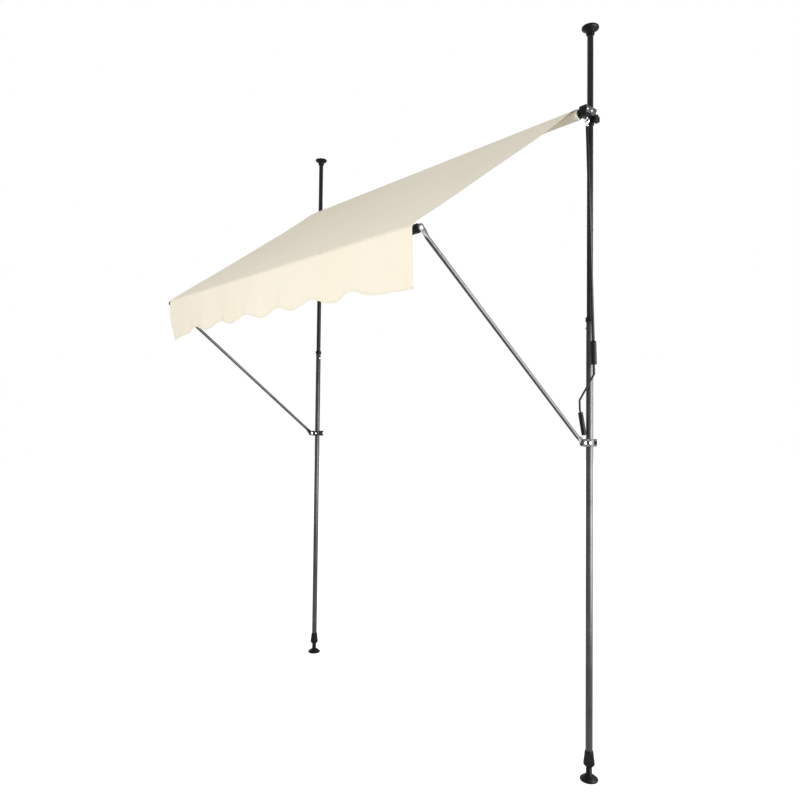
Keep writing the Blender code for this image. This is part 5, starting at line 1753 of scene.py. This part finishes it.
@dataclass
class Valance:
    """The sleeve round the front bar and the scalloped valance under it, with its binding."""

    bench: Bench
    cut: ClothCut
    drop: float = 0.178
    pitch: float = 0.2468
    lows: int = 3
    depth: float = 0.025
    corner_fall: float = 0.014
    wrap: float = math.radians(270)
    columns: int = 400
    sleeve_rows: int = 26
    hang_rows: int = 60

    def build(self) -> None:
        bench = self.bench
        rows = self.sleeve_rows + self.hang_rows
        sheet = Sheet(bench, "valance_cloth", self.columns, rows)
        x, y, z, length = self.points(sheet.across, sheet.along)
        piece = sheet.finish((x, y, z), (x, length), self.cut.thickness)
        bench.hand_over(piece, "cream", "bar", "valance", angle=CLOTH_CREASE)
        binding = self.binding()
        width = 2 * self.cut.half_width
        sleeve = self.wrap * self.cut.sleeve_inner
        sleeve + self.drop
        width * (sleeve + self.drop - 0.5 * self.depth)

    def hem_drop(self, across: np.ndarray) -> np.ndarray:
        """Drop of the hem below the bar: waved by the scallops, and lower towards both corners."""
        x = np.abs(2.0 * across - 1.0) * self.cut.half_width
        reach = np.minimum(x, self.lows * self.pitch)
        rise = 0.5 - 0.5 * np.cos(2 * np.pi * reach / self.pitch)
        corner = self.corner_fall * (x / self.cut.half_width) ** 3
        return self.drop - self.depth * rise + corner + 0.006 * np.exp(-across / 0.03)

    def hang(self, across: np.ndarray, fall: np.ndarray) -> tuple[np.ndarray, np.ndarray]:
        """How the hanging part leaves the plane under the bar.

        Args:
            across: Share across the bar.
            fall: Share of the drop.

        Returns:
            Sideways shift and shift along Y at each point.
        """
        x = (2.0 * across - 1.0) * self.cut.half_width
        wave = 0.0044 * np.sin(2 * np.pi * x / self.pitch + 0.5 * np.sin(3.1 * x)) * fall
        wave += 0.0048 * np.sin(2 * np.pi * x / 0.43 + 0.9) * fall**1.2
        wave += 0.0020 * np.sin(2 * np.pi * x / 0.104 + 1.7 * np.sin(4.3 * x)) * fall**1.6
        bunched = 0.35 + bump_at(x, 0.66, 0.16) + bump_at(x, -0.78, 0.10)
        gathers = bunched * np.exp(-(1.0 - fall) / 0.07)
        wave += 0.0010 * np.sin(2 * np.pi * x / 0.027 + 2.0 * np.sin(11.0 * x)) * gathers
        far_edge = np.exp(-across / 0.040)
        near_edge = np.exp(-(1.0 - across) / 0.040)
        billow = 0.010 * np.sin(np.pi * fall) * (far_edge + 0.3 * near_edge)
        tuck = 0.014 * far_edge * fall**2
        pull = 0.030 * far_edge * fall**1.4 + 0.009 * near_edge * fall**0.8
        return pull, wave - billow * 0.5 + tuck

    def points(
        self, across: np.ndarray, along: np.ndarray
    ) -> tuple[np.ndarray, np.ndarray, np.ndarray, np.ndarray]:
        """Places of the cloth's points, and their length along the cloth."""
        share_sleeve = self.sleeve_rows / (self.sleeve_rows + self.hang_rows)
        radius = 0.5 * (self.cut.sleeve_inner + self.cut.sleeve_outer)
        x = (2.0 * across - 1.0) * self.cut.half_width
        on_bar = np.clip(along / share_sleeve, 0.0, 1.0)
        angle = math.pi - self.wrap * (1.0 - on_bar)
        fall = np.clip((along - share_sleeve) / (1.0 - share_sleeve), 0.0, 1.0)
        drop = self.hem_drop(across)
        pull, push = self.hang(across, fall)
        hanging = along > share_sleeve
        y = np.where(hanging, BAR_Y - radius + push, BAR_Y + radius * np.cos(angle))
        z = np.where(hanging, BAR_Z - drop * fall, BAR_Z + radius * np.sin(angle))
        x = x + np.where(hanging, pull, 0.0)
        length = np.where(hanging, drop * fall, (on_bar - 1.0) * self.wrap * radius)
        crease = np.zeros_like(across)
        for centre in (0.29, 0.46, 0.79):
            crease += 0.0009 * bump_at(across, centre, 0.0022)
        y = y - np.where(hanging, crease * np.sin(np.pi * fall) ** 0.5, 0.0)
        return x, y, z, length

    def binding(self) -> Piece:
        """The bias tape folded over the scalloped hem."""
        sheet = Sheet(self.bench, "valance_binding", self.columns, 14)
        across, turn = sheet.across, sheet.along
        tape = 0.0075
        half = 0.0010
        share_sleeve = self.sleeve_rows / (self.sleeve_rows + self.hang_rows)
        angle = (turn - 0.5) * 2.0
        bend = np.clip(np.abs(angle) / 0.35, 0.0, 1.0)
        rise = np.clip((np.abs(angle) - 0.35) / 0.65, 0.0, 1.0) * tape
        drop = self.hem_drop(across)
        fall = np.clip(1.0 - (rise + 0.0005) / drop, 0.0, 1.0)
        along = share_sleeve + fall * (1.0 - share_sleeve)
        x, y, z, _ = self.points(across, along)
        side = np.sign(angle) * np.sin(bend * np.pi / 2) * half
        tip = (1.0 - np.sin(bend * np.pi / 2)) * 0.0009
        piece = sheet.finish((x, y + side, z - tip), (x, turn * 2 * tape), 0.0005)
        return self.bench.hand_over(piece, "binding", "bar", angle=CLOTH_CREASE)


# ---- Studio


@dataclass
class Studio:
    """The pale floor, the soft light and the camera at the photograph's angle."""

    image_side: int = 800
    focal_pixels: float = 672.51
    eye: Place = (2.4574, -2.3392, 1.3938)
    yaw: float = 0.84745
    pitch: float = 0.03186
    roll: float = 0.01084
    sensor: float = 36.0

    def build(self) -> None:
        """Set the view, the world, the lamps, the floor and the camera."""
        scene = bpy.context.scene
        scene.view_settings.view_transform = "Standard"
        self.camera()
        self.world()
        self.floor()
        side = self.lamp("side softbox", (2.5, 0.4, 1.32), (0.95, 0.0, 1.30), (2.2, 2.6), 250.0)
        side.visible_diffuse = False
        front = self.lamp("front softbox", (0.9, -4.8, 1.7), (0.0, -0.4, 1.8), (3.2, 2.2), 90.0)
        front.visible_glossy = False

    def camera(self) -> None:
        """The camera, from its place and its three angles."""
        data = bpy.data.cameras.new("camera")
        data.sensor_fit = "HORIZONTAL"
        data.sensor_width = self.sensor
        data.lens = self.focal_pixels / self.image_side * self.sensor
        data.clip_end = 60.0
        camera = bpy.data.objects.new("camera", data)
        forward = Vector(
            (
                -math.sin(self.yaw) * math.cos(self.pitch),
                math.cos(self.yaw) * math.cos(self.pitch),
                math.sin(self.pitch),
            )
        )
        right = forward.cross(Vector((0.0, 0.0, 1.0))).normalized()
        up = right.cross(forward)
        tilted_right = right * math.cos(self.roll) + up * math.sin(self.roll)
        tilted_up = up * math.cos(self.roll) - right * math.sin(self.roll)
        turn = Matrix((tilted_right, tilted_up, -forward)).transposed()
        camera.matrix_world = Matrix.Translation(self.eye) @ turn.to_4x4()
        bpy.context.scene.collection.objects.link(camera)
        bpy.context.scene.camera = camera

    def world(self) -> None:
        """A soft surround that is white to the camera, in reflections and through what is clear."""
        world = bpy.data.worlds.new("studio")
        bpy.context.scene.world = world
        world.use_nodes = True
        tree = world.node_tree
        tree.nodes.clear()
        seen = self.seen(tree)
        glow = {"Color": (1.0, 0.985, 0.965, 1.0), "Strength": 0.57}
        around = add_node(tree, "ShaderNodeBackground", None, glow)
        white = add_node(tree, "ShaderNodeBackground", None, {"Color": WHITE, "Strength": 1.0})
        mix = add_node(tree, "ShaderNodeMixShader", None, {"Fac": seen, 1: around, 2: white})
        add_node(tree, "ShaderNodeOutputWorld", None, {"Surface": mix}, None)

    @staticmethod
    def seen(tree: bpy.types.NodeTree) -> Signal:
        """1 for the rays that show the background: camera, glossy and transmission rays."""
        path = tree.nodes.new("ShaderNodeLightPath")
        camera, glossy, through = (
            Signal(tree, path.outputs[label])
            for label in ("Is Camera Ray", "Is Glossy Ray", "Is Transmission Ray")
        )
        return camera.math("MAXIMUM", camera.math("MAXIMUM", camera, glossy), through)

    def floor(self) -> None:
        """A wide pale floor that is nearly white to the camera and keeps a faint shadow."""
        bpy.ops.object.select_all(action="DESELECT")
        bpy.ops.mesh.primitive_plane_add(size=40.0, location=(0.0, 0.0, -0.0005))
        floor = bpy.context.active_object
        floor.name = "studio_floor"
        material = bpy.data.materials.new("pale floor")
        material.use_nodes = True
        tree = material.node_tree
        tree.nodes.clear()
        seen = self.seen(tree)
        paint = add_node(tree, "ShaderNodeBsdfDiffuse", None, {"Color": (0.82, 0.82, 0.82, 1.0)})
        glow = add_node(tree, "ShaderNodeEmission", None, {"Color": WHITE, "Strength": 0.75})
        both = add_node(tree, "ShaderNodeAddShader", None, {0: paint, 1: glow})
        mix = add_node(tree, "ShaderNodeMixShader", None, {"Fac": seen, 1: paint, 2: both})
        add_node(tree, "ShaderNodeOutputMaterial", None, {"Surface": mix}, None)
        floor.data.materials.append(material)

    def lamp(
        self, name: str, place: Place, target: Place, size: tuple[float, float], watts: float
    ) -> Piece:
        """A rectangular softbox aimed at a point."""
        data = bpy.data.lights.new(name, "AREA")
        data.shape = "RECTANGLE"
        data.size, data.size_y = size
        data.energy = watts
        lamp = bpy.data.objects.new(name, data)
        lamp.location = place
        aim = Vector(target) - Vector(place)
        lamp.rotation_euler = aim.to_track_quat("-Z", "Y").to_euler()
        bpy.context.scene.collection.objects.link(lamp)
        return lamp


def main() -> None:
    """Build every sub-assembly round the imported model."""
    logging.basicConfig(level=logging.INFO, format="%(message)s")
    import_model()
    bench = Bench(Palette())
    cut = ClothCut()
    Studio().build()
    for assembly in (
        Poles(bench),
        ArmClamps(bench),
        Arms(bench),
        FrontBar(bench),
        Roller(bench),
        RollerClamps(bench),
        WindingGear(bench),
        Crank(bench),
        Valance(bench, cut),
        Canopy(bench, cut),
    ):
        assembly.build()
        LOG.info("built %s", type(assembly).__name__)
    LOG.info("%d pieces", bench.made)


if __name__ == "__main__":
    main()
